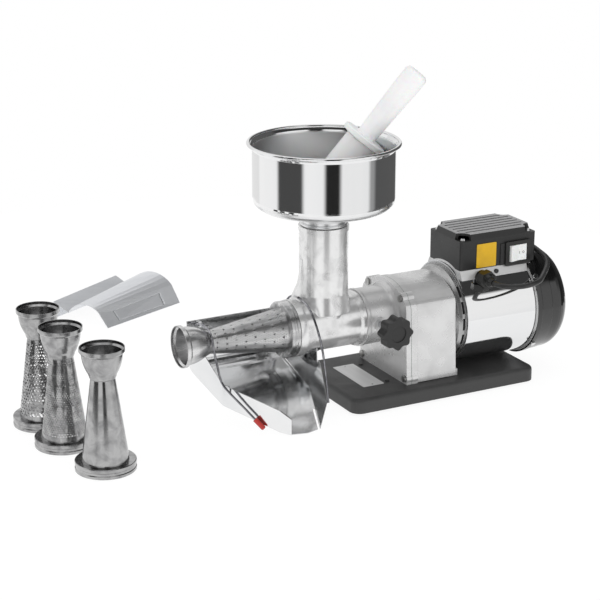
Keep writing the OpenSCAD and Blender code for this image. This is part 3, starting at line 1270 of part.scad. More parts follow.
base_plate();
rubber_feet();
case_bolts();
plate_screws();
gear_case();
case_gasket();
front_cover();
cover_screws();
shaft_bearings();
shaft_seal();
idler_bushes();
motor_shield();
motor_shell();
stator_core();
windings();
rotor_bearings();
rear_shield();
fan_cowl();
cowl_screws();
box_pedestal();
control_box();
box_lid();
lid_screws();
run_capacitor();
switch_frame();
switch_rocker();
cable_gland();
pedestal_screw();
power_cord();
cord_coil();
mains_plug();
rotor_core();
rotor_shaft();
cooling_fan();
idler_shaft();
idler_wheel();
output_shaft();
output_wheel();
auger();
press_body();
clamp_stud();
star_knob();
strainer_cone();
drip_tray();
bail_wire();
bail_grip();
hoop_wire();
feed_hopper();
pestle();
spare_cone_plain();
spare_cone_fine();
spare_cone_coarse();
splash_guard();
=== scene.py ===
"""Finishes, mains lead, plates and studio of the electric tomato press."""

import logging
import math
from dataclasses import dataclass, field, replace
from enum import Enum

import bmesh
import bpy
from mathutils import Matrix, Vector


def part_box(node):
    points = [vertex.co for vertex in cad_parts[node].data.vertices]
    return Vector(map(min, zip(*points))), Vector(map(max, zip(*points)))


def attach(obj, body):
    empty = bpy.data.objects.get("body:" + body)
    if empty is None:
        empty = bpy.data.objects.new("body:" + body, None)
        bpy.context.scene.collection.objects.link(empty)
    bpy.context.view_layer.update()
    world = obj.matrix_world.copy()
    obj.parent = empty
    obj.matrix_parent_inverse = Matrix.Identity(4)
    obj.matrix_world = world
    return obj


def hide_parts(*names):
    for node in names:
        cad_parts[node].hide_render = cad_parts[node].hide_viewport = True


log = logging.getLogger("press")

MM = 0.001
# Left end and back face of the control box, measured from the hopper's axis
BOX_LEFT = 206 * MM
BOX_BACK = 43.7 * MM


class Along(Enum):
    """Direction that a finish is brushed, drawn or rolled in."""

    NOWHERE = (1.0, 1.0, 1.0)
    X = (0.04, 1.0, 1.0)
    Y = (1.0, 0.04, 1.0)
    Z = (1.0, 1.0, 0.04)


class Layout:
    """Turns places measured from the hopper's axis and the floor into the frame's own."""

    def __init__(self) -> None:
        """Finds the hopper's axis from the control box, whose faces are flat."""
        low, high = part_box("control_box")
        self.axis = Vector((low[0] - BOX_LEFT, high[1] - BOX_BACK, 0.0))

    def at(self, x: float, y: float, z: float) -> Vector:
        """Returns a place given in millimetres from the hopper's axis and the floor."""
        return self.axis + Vector((x, y, z)) * MM


def linear(shade: tuple[float, float, float]) -> tuple[float, float, float, float]:
    """Turns a colour as seen on a screen into the one that a shader takes.

    Args:
        shade: Red, green and blue from 0 to 255.

    Returns:
        The linear colour with an alpha of 1.
    """
    parts = [c / 255 for c in shade]
    red, green, blue = (c / 12.92 if c <= 0.04045 else ((c + 0.055) / 1.055) ** 2.4 for c in parts)
    return (red, green, blue, 1.0)


class Wiring:
    """Adds and joins the nodes of one node tree."""

    def __init__(self, tree: bpy.types.NodeTree) -> None:
        """Clears the tree that is to be wired."""
        self.tree = tree
        tree.nodes.clear()

    def add(self, kind: str, inputs: dict | None = None, **settings) -> bpy.types.Node:
        """Adds a node.

        Args:
            kind: Type of the node.
            inputs: Values or sockets for its inputs, by name or number.
            settings: Attributes of the node.

        Returns:
            The new node.
        """
        node = self.tree.nodes.new(kind)
        for name, value in settings.items():
            setattr(node, name, value)
        for name, value in (inputs or {}).items():
            if isinstance(value, bpy.types.NodeSocket):
                self.tree.links.new(value, node.inputs[name])
            else:
                node.inputs[name].default_value = value
        return node

    def maths(self, operation: str, *values) -> bpy.types.NodeSocket:
        """Returns the result of a Math node on one to three values."""
        node = self.add("ShaderNodeMath", dict(enumerate(values)), operation=operation)
        return node.outputs[0]

    def ranged(self, value, low: float, high: float, first: float, last: float) -> bpy.types.NodeSocket:
        """Returns a value moved from the range low to high to the range first to last."""
        node = self.add("ShaderNodeMapRange", {"Value": value, "From Min": low, "From Max": high,
            "To Min": first, "To Max": last})
        return node.outputs[0]

    def blend(self, factor, first, second) -> bpy.types.NodeSocket:
        """Returns a colour between the first and the second."""
        node = self.add("ShaderNodeMix", {0: factor, 6: first, 7: second}, data_type="RGBA")
        return node.outputs[2]

    def stretched(self, vector, scale) -> bpy.types.NodeSocket:
        """Returns a vector multiplied by another."""
        node = self.add("ShaderNodeVectorMath", {0: vector, 1: scale}, operation="MULTIPLY")
        return node.outputs[0]


class Effect:
    """A shader node group that several finishes share."""

    name = "effect"
    takes: tuple[tuple[str, str, object], ...] = ()
    gives: tuple[tuple[str, str], ...] = ()

    def tree(self) -> bpy.types.NodeTree:
        """Returns the group, built on its first use."""
        made = bpy.data.node_groups.get(self.name)
        if made:
            return made
        made = bpy.data.node_groups.new(self.name, "ShaderNodeTree")
        for name, kind, value in self.takes:
            socket = made.interface.new_socket(name=name, in_out="INPUT", socket_type=kind)
            socket.default_value = value
        for name, kind in self.gives:
            made.interface.new_socket(name=name, in_out="OUTPUT", socket_type=kind)
        wiring = Wiring(made)
        entry = wiring.add("NodeGroupInput")
        wiring.add("NodeGroupOutput", self.wire(wiring, entry.outputs))
        return made

    def wire(self, wiring: Wiring, given: bpy.types.NodeOutputs) -> dict:
        """Wires the inside of the group and returns its outputs by name."""
        raise NotImplementedError

    def place(self, wiring: Wiring, **values) -> bpy.types.Node:
        """Places the group in a material.

        Args:
            wiring: The material's wiring.
            values: Inputs by name, with _ for a space.

        Returns:
            The group's node.
        """
        node = wiring.add("ShaderNodeGroup", node_tree=self.tree())
        for name, value in values.items():
            socket = node.inputs[name.replace("_", " ")]
            if isinstance(value, bpy.types.NodeSocket):
                wiring.tree.links.new(value, socket)
            else:
                socket.default_value = value
        return node


FLOAT, VECTOR, COLOUR = "NodeSocketFloat", "NodeSocketVector", "NodeSocketColor"


class Grain(Effect):
    """Fine grain of a cast, painted, moulded or brushed surface."""

    name = "grain"
    takes = (("Size", FLOAT, 0.001), ("Depth", FLOAT, 0.00002), ("Stretch", VECTOR, (1.0, 1.0, 1.0)),
        ("Normal", VECTOR, (0.0, 0.0, 0.0)))
    gives = (("Value", FLOAT), ("Normal", VECTOR))

    def wire(self, wiring: Wiring, given: bpy.types.NodeOutputs) -> dict:
        """Bumps the surface with stretched noise and puts the noise out too."""
        place = wiring.add("ShaderNodeTexCoord").outputs["Object"]
        noise = wiring.add("ShaderNodeTexNoise", {"Vector": wiring.stretched(place, given["Stretch"]),
            "Scale": wiring.maths("DIVIDE", 1.0, given["Size"]), "Detail": 3.0, "Roughness": 0.6})
        bump = wiring.add("ShaderNodeBump", {"Height": noise.outputs[0], "Distance": given["Depth"],
            "Normal": given["Normal"], "Strength": 1.0})
        return {"Value": noise.outputs[0], "Normal": bump.outputs[0]}


class Smudges(Effect):
    """Broad stains and handling marks."""

    name = "smudges"
    takes = (("Size", FLOAT, 0.03), ("Stretch", VECTOR, (1.0, 1.0, 1.0)), ("Low", FLOAT, 0.35),
        ("High", FLOAT, 0.65))
    gives = (("Mask", FLOAT),)

    def wire(self, wiring: Wiring, given: bpy.types.NodeOutputs) -> dict:
        """Returns soft noise spread between the low and high levels."""
        place = wiring.add("ShaderNodeTexCoord").outputs["Object"]
        noise = wiring.add("ShaderNodeTexNoise", {"Vector": wiring.stretched(place, given["Stretch"]),
            "Scale": wiring.maths("DIVIDE", 1.0, given["Size"]), "Detail": 4.0, "Roughness": 0.55,
            "Distortion": 0.4})
        mask = wiring.add("ShaderNodeMapRange", {"Value": noise.outputs[0], "From Min": given["Low"],
            "From Max": given["High"]})
        return {"Mask": mask.outputs[0]}


class Edges(Effect):
    """Rounded shading at sharp edges, and a broken-up mask along them where a finish is drawn in a lighter
    edge colour.
    """

    name = "edges"
    takes = (("Radius", FLOAT, 0.0006), ("Breakup", FLOAT, 0.004))
    gives = (("Mask", FLOAT), ("Normal", VECTOR))

    def wire(self, wiring: Wiring, given: bpy.types.NodeOutputs) -> dict:
        """Compares the rounded normal with the true one and breaks the mask up."""
        rounded = wiring.add("ShaderNodeBevel", {"Radius": given["Radius"]}, samples=6)
        true = wiring.add("ShaderNodeNewGeometry").outputs["Normal"]
        likeness = wiring.add("ShaderNodeVectorMath", {0: rounded.outputs[0], 1: true},
            operation="DOT_PRODUCT")
        edge = wiring.ranged(likeness.outputs["Value"], 0.995, 0.90, 0.0, 1.0)
        place = wiring.add("ShaderNodeTexCoord").outputs["Object"]
        noise = wiring.add("ShaderNodeTexNoise", {"Vector": place,
            "Scale": wiring.maths("DIVIDE", 1.0, given["Breakup"]), "Detail": 3.0})
        broken = wiring.ranged(noise.outputs[0], 0.38, 0.62, 0.25, 1.0)
        return {"Mask": wiring.maths("MULTIPLY", edge, broken), "Normal": rounded.outputs[0]}


class Perforation(Effect):
    """Staggered small holes round an axis that runs along Z."""

    name = "perforation"
    takes = (("Place", VECTOR, (0.0, 0.0, 0.0)), ("Pitch", FLOAT, 0.003), ("Holes round", FLOAT, 40.0),
        ("From", FLOAT, 0.0), ("To", FLOAT, 0.1), ("Fill", FLOAT, 0.3))
    gives = (("Mask", FLOAT),)

    def wire(self, wiring: Wiring, given: bpy.types.NodeOutputs) -> dict:
        """Returns 1 in a hole and 0 in the sheet between holes."""
        parts = wiring.add("ShaderNodeSeparateXYZ", {0: given["Place"]}).outputs
        row = wiring.maths("DIVIDE", parts[2], given["Pitch"])
        odd = wiring.maths("MODULO", wiring.maths("FLOOR", row), 2.0)
        turn = wiring.maths("DIVIDE", wiring.maths("ARCTAN2", parts[1], parts[0]), 2 * math.pi)
        spot = wiring.maths("ADD", wiring.maths("MULTIPLY", turn, given["Holes round"]),
            wiring.maths("MULTIPLY", odd, 0.5))
        across = wiring.maths("SUBTRACT", wiring.maths("FRACT", spot), 0.5)
        along = wiring.maths("SUBTRACT", wiring.maths("FRACT", row), 0.5)
        away = wiring.maths("SQRT", wiring.maths("ADD", wiring.maths("MULTIPLY", across, across),
            wiring.maths("MULTIPLY", along, along)))
        hole = wiring.maths("LESS_THAN", away, given["Fill"])
        inside = wiring.maths("MULTIPLY", wiring.maths("GREATER_THAN", parts[2], given["From"]),
            wiring.maths("LESS_THAN", parts[2], given["To"]))
        return {"Mask": wiring.maths("MULTIPLY", hole, inside)}


GRAIN, SMUDGES, EDGES, PERFORATION = Grain(), Smudges(), Edges(), Perforation()


@dataclass(frozen=True)
class Finish:
    """Finish of one kind of surface, with colours as seen from 0 to 255 and sizes in metres."""

    name: str
    colour: tuple[float, float, float]
    stain: tuple[float, float, float]
    roughness: float
    worn_roughness: float
    metallic: float = 0.0
    stain_size: float = 0.03
    stain_from: float = 0.35
    stain_to: float = 0.70
    grain: float = 0.0008
    grain_depth: float = 0.00001
    brushed: Along = Along.NOWHERE
    edge: tuple[float, float, float] | None = None
    edge_radius: float = 0.0005
    coat: float = 0.0
    coat_roughness: float = 0.05
    ior: float = 1.5
    subsurface: float = 0.0

    def material(self) -> bpy.types.Material:
        """Returns the material, built on its first use under a name that no CAD slot has."""
        name = "finish_" + self.name
        made = bpy.data.materials.get(name)
        if made:
            return made
        made = bpy.data.materials.new(name)
        made.use_nodes = True
        wiring = Wiring(made.node_tree)
        colour, roughness, normal = self.surface(wiring)
        shader = wiring.add("ShaderNodeBsdfPrincipled", {"Base Color": colour, "Roughness": roughness,
            "Normal": normal, "Metallic": self.metallic, "IOR": self.ior, "Coat Weight": self.coat,
            "Coat Roughness": self.coat_roughness, "Subsurface Weight": self.subsurface})
        self.extend(wiring, shader)
        wiring.add("ShaderNodeOutputMaterial", {"Surface": shader.outputs[0]})
        return made

    def surface(self, wiring: Wiring) -> tuple:
        """Wires what every finish has.

        Args:
            wiring: The material's wiring.

        Returns:
            The sockets of its colour, roughness and normal.
        """
        edges = EDGES.place(wiring, Radius=self.edge_radius)
        grain = GRAIN.place(wiring, Size=self.grain, Depth=self.grain_depth, Stretch=self.brushed.value,
            Normal=edges.outputs["Normal"])
        stains = SMUDGES.place(wiring, Size=self.stain_size, Stretch=self.brushed.value,
            Low=self.stain_from, High=self.stain_to)
        colour = wiring.blend(stains.outputs["Mask"], linear(self.colour), linear(self.stain))
        if self.edge:
            colour = wiring.blend(edges.outputs["Mask"], colour, linear(self.edge))
        roughness = wiring.ranged(stains.outputs["Mask"], 0.0, 1.0, self.roughness, self.worn_roughness)
        return colour, roughness, grain.outputs["Normal"]

    def extend(self, wiring: Wiring, shader: bpy.types.Node) -> None:
        """Adds what only a more special finish has."""


@dataclass(frozen=True)
class PerforatedFinish(Finish):
    """Sheet with small holes round an axis through a place in the frame."""

    centre: tuple[float, float, float] = (0.0, 0.0, 0.0)
    lying: bool = False
    pitch: float = 0.003
    holes_round: float = 44.0
    first: float = 0.02
    last: float = 0.12
    fill: float = 0.27

    def extend(self, wiring: Wiring, shader: bpy.types.Node) -> None:
        """Cuts the holes out with the shader's alpha."""
        place = wiring.add("ShaderNodeTexCoord").outputs["Object"]
        away = wiring.add("ShaderNodeVectorMath", {0: place, 1: self.centre}, operation="SUBTRACT").outputs[0]
        if self.lying:
            parts = wiring.add("ShaderNodeSeparateXYZ", {0: away}).outputs
            away = wiring.add("ShaderNodeCombineXYZ", {0: parts[1], 1: parts[2],
                2: wiring.maths("MULTIPLY", parts[0], -1.0)}).outputs[0]
        holes = PERFORATION.place(wiring, Place=away, Pitch=self.pitch, Holes_round=self.holes_round,
            From=self.first, To=self.last, Fill=self.fill)
        sheet = wiring.maths("SUBTRACT", 1.0, holes.outputs["Mask"])
        wiring.tree.links.new(sheet, shader.inputs["Alpha"])


@dataclass(frozen=True)
class TopSheenFinish(Finish):
    """Moulding whose faces above a level get a painted sheen, a lighter shade that stands in for the light
    the top catches.
    """

    level: float = 0.23
    # Colour of the painted sheen drawn above the level
    painted_top_sheen: tuple[float, float, float] = (150, 150, 150)

    def surface(self, wiring: Wiring) -> tuple:
        """Wires the plain moulding and paints the lighter sheen colour on what lies above the level."""
        colour, roughness, normal = super().surface(wiring)
        place = wiring.add("ShaderNodeTexCoord").outputs["Object"]
        height = wiring.add("ShaderNodeSeparateXYZ", {0: place}).outputs[2]
        above = wiring.maths("GREATER_THAN", height, self.level)
        # Painted sheen: what lies above the level is drawn lighter for the light it catches
        colour = wiring.blend(above, colour, linear(self.painted_top_sheen))
        return colour, roughness, normal


@dataclass(frozen=True)
class BowlFinish(Finish):
    """Sheet round an upright axis, polished outside and satin inside a radius."""

    centre: tuple[float, float, float] = (0.0, 0.0, 0.0)
    inner_radius: float = 0.1
    satin: float = 0.22

    def surface(self, wiring: Wiring) -> tuple:
        """Wires the polished sheet and roughens its inside."""
        colour, roughness, normal = super().surface(wiring)
        place = wiring.add("ShaderNodeTexCoord").outputs["Object"]
        away = wiring.add("ShaderNodeVectorMath", {0: place, 1: self.centre}, operation="SUBTRACT").outputs[0]
        parts = wiring.add("ShaderNodeSeparateXYZ", {0: away}).outputs
        squares = [wiring.maths("MULTIPLY", parts[side], parts[side]) for side in (0, 1)]
        inside = wiring.maths("LESS_THAN", wiring.maths("ADD", *squares), self.inner_radius ** 2)
        roughness = wiring.maths("ADD", roughness, wiring.maths("MULTIPLY", inside, self.satin))
        return colour, roughness, normal


POLISHED = Finish("polished_steel", (238, 238, 238), (228, 229, 230), 0.05, 0.09, metallic=1.0,
    grain=0.0012, grain_depth=0.0000004, brushed=Along.X, stain_size=0.08)
TRAY_STEEL = replace(POLISHED, name="tray_steel", roughness=0.08, worn_roughness=0.14)
GUARD_STEEL = Finish("guard_steel", (232, 234, 237), (218, 220, 224), 0.30, 0.38, metallic=0.6,
    grain=0.0016, grain_depth=0.000004, brushed=Along.X)
CAST = Finish("cast_aluminium", (216, 216, 216), (198, 198, 198), 0.24, 0.34, metallic=0.55,
    grain=0.0011, grain_depth=0.000016, stain_size=0.045, edge=(240, 240, 240))
# Darker copy of the cast aluminium for the front shield: its lower colours are painted shade for the recess
# under the pedestal
SHADED_SHIELD_CAST = replace(CAST, name="shield_cast_painted_shade", colour=(175, 175, 175), stain=(150, 150, 150), metallic=0.9)
PEDESTAL = Finish("brushed_aluminium", (216, 216, 216), (200, 200, 200), 0.30, 0.40, metallic=0.5,
    grain=0.0014, grain_depth=0.000010, brushed=Along.X, edge=(235, 235, 235))
TINNED_CASTING = Finish("tinned_iron", (232, 232, 232), (200, 200, 200), 0.20, 0.32, metallic=0.65,
    grain=0.0016, grain_depth=0.000022, stain_size=0.018, stain_from=0.45, stain_to=0.75)
TINNED_SHEET = Finish("tinned_sheet", (222, 222, 222), (164, 164, 165), 0.22, 0.38, metallic=1.0,
    grain=0.0016, grain_depth=0.00002, stain_size=0.012, stain_from=0.38, stain_to=0.72)
# Darker copy of the tinned sheet for the spare cones: its lower colours are painted shade, not a different
# metal
SHADED_SPARE_SHEET = replace(TINNED_SHEET, name="spare_sheet_painted_shade", colour=(178, 178, 178), stain=(134, 134, 135),
    roughness=0.15, worn_roughness=0.26, stain_size=0.02)
BASE_PAINT = Finish("base_paint", (50, 50, 50), (57, 57, 57), 0.46, 0.60, grain=0.0012,
    grain_depth=0.000018, edge=(96, 96, 96), edge_radius=0.0012)
COWL_PAINT = Finish("cowl_paint", (13, 13, 13), (17, 17, 17), 0.12, 0.18, grain=0.003,
    grain_depth=0.000006, coat=0.6)
RUBBER = Finish("rubber", (30, 30, 30), (38, 38, 38), 0.6, 0.75, grain=0.0006, grain_depth=0.00001)
LEAD_RUBBER = Finish("lead_rubber", (38, 38, 38), (46, 46, 46), 0.36, 0.46, grain=0.001,
    grain_depth=0.00001)
MOULDED = Finish("moulded_plastic", (28, 28, 28), (34, 34, 34), 0.40, 0.50, grain=0.0006,
    grain_depth=0.000016, edge=(66, 66, 66))
FRAME_PLASTIC = replace(MOULDED, name="frame_plastic", colour=(18, 18, 17), stain=(24, 24, 23),
    roughness=0.28, worn_roughness=0.34)
ZINC = Finish("zinc_steel", (190, 190, 188), (150, 150, 148), 0.28, 0.40, metallic=1.0, grain=0.0007,
    grain_depth=0.000008, stain_size=0.006, edge=(220, 220, 220), edge_radius=0.0003)
CHROME = replace(ZINC, name="chrome", colour=(220, 220, 220), stain=(205, 205, 205), roughness=0.12,
    worn_roughness=0.2)
BEARING_STEEL = Finish("bearing_steel", (200, 201, 203), (176, 177, 180), 0.16, 0.26, metallic=1.0,
    grain=0.0008, grain_depth=0.000003, stain_size=0.01)
GEAR_STEEL = Finish("gear_steel", (148, 146, 142), (112, 108, 102), 0.28, 0.44, metallic=1.0,
    grain=0.001, grain_depth=0.00001, stain_size=0.012, edge=(196, 196, 194))
BRONZE = Finish("bronze", (186, 142, 88), (150, 108, 62), 0.28, 0.42, metallic=1.0, stain_size=0.008)
PAPER = Finish("gasket_paper", (92, 108, 98), (76, 90, 82), 0.75, 0.85, grain=0.0004)
LAMINATION = Finish("lamination", (118, 118, 122), (84, 82, 84), 0.42, 0.6, metallic=1.0,
    grain=0.0005, grain_depth=0.00003, brushed=Along.Y, stain_size=0.02)
COPPER = Finish("enamelled_copper", (170, 84, 40), (120, 54, 24), 0.30, 0.45, metallic=1.0,
    grain=0.0012, grain_depth=0.00012, brushed=Along.Y, coat=0.5)
WHITE_ROCKER = Finish("white_rocker", (238, 238, 237), (230, 230, 228), 0.30, 0.38, grain=0.0005,
    grain_depth=0.000004, subsurface=0.05)
WHITE_PLASTIC = Finish("white_plastic", (243, 243, 243), (236, 237, 238), 0.30, 0.40, grain=0.0009,
    grain_depth=0.00001, subsurface=0.15, stain_size=0.05)
CAN_ALUMINIUM = Finish("capacitor_can", (196, 196, 194), (176, 176, 174), 0.3, 0.4, metallic=1.0)
RED_PLASTIC = Finish("red_plastic", (176, 50, 44), (156, 40, 36), 0.34, 0.44, grain=0.0006)
WIRE_STEEL = Finish("spring_wire", (176, 176, 180), (120, 120, 126), 0.18, 0.32, metallic=1.0,
    stain_size=0.01)
YELLOW_PLATE = Finish("yellow_plate", (216, 170, 16), (202, 158, 15), 0.32, 0.42, grain=0.0006,
    grain_depth=0.000004, stain_size=0.02)
PLATE_BORDER = Finish("plate_border", (44, 38, 20), (36, 32, 18), 0.4, 0.5)
PALE_PLATE = Finish("pale_plate", (208, 208, 208), (192, 192, 192), 0.34, 0.46, grain=0.0012,
    grain_depth=0.000004, brushed=Along.Y, metallic=0.35, stain_size=0.02)
MARK_INK = Finish("mark_ink", (112, 112, 112), (96, 96, 96), 0.5, 0.6)


def dress(finishes: dict[str, Finish]) -> None:
    """Gives CAD nodes their finish.

    Args:
        finishes: Finish of each node by the node's name.
    """
    for node, finish in finishes.items():
        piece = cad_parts[node]
        piece.data.materials.clear()
        piece.data.materials.append(finish.material())
        log.info("%s: %s", node, finish.name)


def mesh_piece(name: str, form: bmesh.types.BMesh, finish: Finish, body: str) -> bpy.types.Object:
    """Makes a visible piece from a form that is already in its place.

    Args:
        name: Name of the piece.
        form: Its mesh, which is freed.
        finish: Its finish.
        body: Body that it rides on.

    Returns:
        The new object.
    """
    bmesh.ops.recalc_face_normals(form, faces=form.faces)
    mesh = bpy.data.meshes.new(name)
    form.to_mesh(mesh)
    form.free()
    piece = bpy.data.objects.new(name, mesh)
    bpy.context.scene.collection.objects.link(piece)
    mesh.materials.append(finish.material())
    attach(piece, body)
    log.info("%s: made, rides on %s", name, body)
    return piece


def rounded_outline(width: float, height: float, corner: float, steps: int = 6) -> list[tuple[float, float]]:
    """Returns the outline of a rectangle with round corners, centred, anticlockwise."""
    points = []
    for turn, (side, end) in enumerate(((1, 1), (-1, 1), (-1, -1), (1, -1))):
        for step in range(steps + 1):
            angle = math.radians(90 * turn + 90 * step / steps)
            points.append((side * (width / 2 - corner) + corner * math.cos(angle),
                end * (height / 2 - corner) + corner * math.sin(angle)))
    return points


def plate_form(outline: list[tuple[float, float]], thick: float, rim: float, frame_of: Matrix,
        bore: list[tuple[float, float]] | None = None) -> bmesh.types.BMesh:
    """Makes a thin plate with a softened rim, and with a hole where a bore is given.

    Args:
        outline: Points of the outline, in the plate's plane.
        thick: Thickness, up from the plane.
        rim: Width of the bevel along the upper rim.
        frame_of: Where the plate's plane lies.
        bore: Points of the hole's outline, as many as the outline has.

    Returns:
        The plate's mesh, in its place.
    """
    form = bmesh.new()
    low = [form.verts.new((x, y, 0.0)) for x, y in outline]
    face = form.faces.new(low)
    if bore:
        form.faces.remove(face)
        inner = [form.verts.new((x, y, 0.0)) for x, y in bore]
        count = len(low)
        for k in range(count):
            form.faces.new((low[k], low[(k + 1) % count], inner[(k + 1) % count], inner[k]))
    raised = bmesh.ops.extrude_face_region(form, geom=list(form.faces))
    tops = [v for v in raised["geom"] if isinstance(v, bmesh.types.BMVert)]
    bmesh.ops.translate(form, verts=tops, vec=(0.0, 0.0, thick))
    if rim:
        form.normal_update()
        top_edges = [e for e in form.edges if all(v in tops for v in e.verts) and len(e.link_faces) == 2
            and abs(e.link_faces[0].normal.dot(e.link_faces[1].normal)) < 0.5]
        bmesh.ops.bevel(form, geom=top_edges, offset=rim, segments=2, affect="EDGES", profile=0.5)
    bmesh.ops.transform(form, matrix=frame_of, verts=form.verts)
    return form


def standing(place: Vector) -> Matrix:
    """Returns the frame of a plane that faces the front, with its own X to the right and Y up."""
    return Matrix.Translation(place) @ Matrix.Rotation(math.radians(90), 4, "X")


@dataclass
class Studio:
    """Camera, lamps, backdrop and floor."""

    layout: Layout
    azimuth: float = math.radians(-27.8)
    elevation: float = math.radians(18.1)
    distance: float = 2.6204
    lens: float = 109.05
    aim: tuple[float, float, float] = (-37.06, 2.40, 156.61)
    floor_radius: float = 0.95
    # Share of the floor that shines where the camera or a reflection sees it
    floor_share: float = 0.85
    # Share of the floor that shines for matt surfaces, as a lit white sweep does
    floor_glow: float = 0.6
    # Ends of the backdrop's bands in degrees from straight in front, and the shade from there on
    bands: tuple[tuple[float, float], ...] = ((-180, 0.85), (-154.8, 1.0), (-106.8, 0.07), (-61.8, 1.0),
        (-26.8, 0.02), (-1.8, 0.95), (49.2, 0.35), (60.2, 0.10), (135.0, 0.85))
    band_edge: float = 3.0
    # Shade of the dark ring ahead between the bands and the bright overhead, and the heights where
    # it begins and ends, as sines
    screen: float = 0.04
    screen_from: tuple[float, float] = (0.54, 0.60)
    screen_to: tuple[float, float] = (0.84, 0.92)
    # How far back the ring reaches, as the sine where it fades
    screen_back: tuple[float, float] = (0.0, 0.2)
    overhead: float = 1.05
    # Even shade that matt surfaces see in place of the bands
    ambient: float = 0.83
    # Name, place in metres from the hopper's axis and the floor, size and power of each lamp
    lamps: tuple[tuple[str, tuple[float, float, float], float, float], ...] = (
        ("key_lamp", (-1.3, -1.9, 0.45), 1.2, 15.0), ("fill_lamp", (1.8, -1.2, 0.6), 1.6, 5.0),
        ("top_lamp", (-0.2, 0.3, 2.4), 1.6, 4.0))

    def back(self) -> Vector:
        """Returns the direction from the object to the camera."""
        flat = math.cos(self.elevation)
        return Vector((math.sin(self.azimuth) * flat, -math.cos(self.azimuth) * flat,
            math.sin(self.elevation)))

    def add_camera(self) -> None:
        """Sets the camera up as in the photograph."""
        data = bpy.data.cameras.new("camera")
        data.lens = self.lens
        data.sensor_width = 36.0
        data.clip_end = 20.0
        camera = bpy.data.objects.new("camera", data)
        bpy.context.scene.collection.objects.link(camera)
        camera.location = self.layout.at(*self.aim) + self.back() * self.distance
        camera.rotation_euler = self.back().to_track_quat("Z", "Y").to_euler()
        bpy.context.scene.camera = camera

    def add_lamp(self, name: str, place: tuple[float, float, float], size: float, power: float) -> None:
        """Adds a soft lamp that points at the middle of the press.

        Args:
            name: Name of the lamp.
            place: Its place in metres from the hopper's axis and the floor.
            size: Side of its square.
            power: Its power in watts.
        """
        data = bpy.data.lights.new(name, "AREA")
        data.size = size
        data.energy = power
        lamp = bpy.data.objects.new(name, data)
        bpy.context.scene.collection.objects.link(lamp)
        lamp.location = self.layout.axis + Vector(place)
        aim = lamp.location - self.layout.at(0, 0, 150)
        lamp.rotation_euler = aim.to_track_quat("Z", "Y").to_euler()
        lamp.visible_glossy = False

    def add_world(self) -> None:
        """Builds the white backdrop, with the studio's bands in what the metal reflects."""
        world = bpy.data.worlds.new("studio")
        bpy.context.scene.world = world
        world.use_nodes = True
        wiring = Wiring(world.node_tree)
        parts = wiring.add("ShaderNodeSeparateXYZ",
            {0: wiring.add("ShaderNodeTexCoord").outputs["Generated"]}).outputs
        around = wiring.maths("ARCTAN2", parts[0], wiring.maths("MULTIPLY", parts[1], -1.0))
        share = wiring.maths("ADD", wiring.maths("DIVIDE", around, 2 * math.pi), 0.5)
        ramp = wiring.add("ShaderNodeValToRGB", {0: share})
        points = ramp.color_ramp.elements
        points.remove(points[0])
        points[0].position = 0.0
        points[0].color = (self.bands[0][1],) * 3 + (1.0,)
        for (_, before), (angle, shade) in zip(self.bands, self.bands[1:]):
            for side, level in ((-1, before), (1, shade)):
                point = points.new((angle + side * self.band_edge) / 360 + 0.5)
                point.color = (level,) * 3 + (1.0,)
        ahead = wiring.ranged(parts[1], *self.screen_back, 1.0, 0.0)
        ring = wiring.maths("MULTIPLY", wiring.ranged(parts[2], *self.screen_from, 0.0, 1.0), ahead)
        screened = wiring.blend(ring, ramp.outputs[0], (self.screen,) * 3 + (1.0,))
        lifted = wiring.ranged(parts[2], *self.screen_to, 0.0, 1.0)
        studio = wiring.blend(lifted, screened, (self.overhead,) * 3 + (1.0,))
        path = wiring.add("ShaderNodeLightPath").outputs
        soft = wiring.blend(path["Is Glossy Ray"], (self.ambient,) * 3 + (1.0,), studio)
        colour = wiring.blend(path["Is Camera Ray"], soft, (1.0, 1.0, 1.0, 1.0))
        shader = wiring.add("ShaderNodeBackground", {"Color": colour, "Strength": 1.0})
        wiring.add("ShaderNodeOutputWorld", {"Surface": shader.outputs[0]})

    def add_floor(self) -> None:
        """Lays the pale floor, which keeps a faint shadow."""
        form = bmesh.new()
        bmesh.ops.create_circle(form, cap_ends=True, segments=96, radius=self.floor_radius)
        bmesh.ops.translate(form, verts=form.verts, vec=(0.0, 0.0, -0.0002))
        mesh = bpy.data.meshes.new("floor")
        form.to_mesh(mesh)
        form.free()
        floor = bpy.data.objects.new("floor", mesh)
        bpy.context.scene.collection.objects.link(floor)
        material = bpy.data.materials.new("floor")
        material.use_nodes = True
        wiring = Wiring(material.node_tree)
        lit = wiring.add("ShaderNodeBsdfDiffuse", {"Color": (0.92, 0.92, 0.92, 1.0)})
        white = wiring.add("ShaderNodeEmission", {"Color": (1.0, 1.0, 1.0, 1.0), "Strength": 1.06})
        path = wiring.add("ShaderNodeLightPath").outputs
        seen = wiring.maths("MAXIMUM", path["Is Camera Ray"], wiring.maths("MAXIMUM",
            path["Is Glossy Ray"], path["Is Transmission Ray"]))
        share = wiring.maths("MAXIMUM", wiring.maths("MULTIPLY", seen, self.floor_share), self.floor_glow)
        mixed = wiring.add("ShaderNodeMixShader", {0: share, 1: lit.outputs[0], 2: white.outputs[0]})
        wiring.add("ShaderNodeOutputMaterial", {"Surface": mixed.outputs[0]})
        mesh.materials.append(material)

    def build(self) -> None:
        """Builds the lamps, the backdrop and the floor."""
        bpy.context.scene.view_settings.view_transform = "Standard"
        self.add_world()
        self.add_floor()
        for lamp in self.lamps:
            self.add_lamp(*lamp)


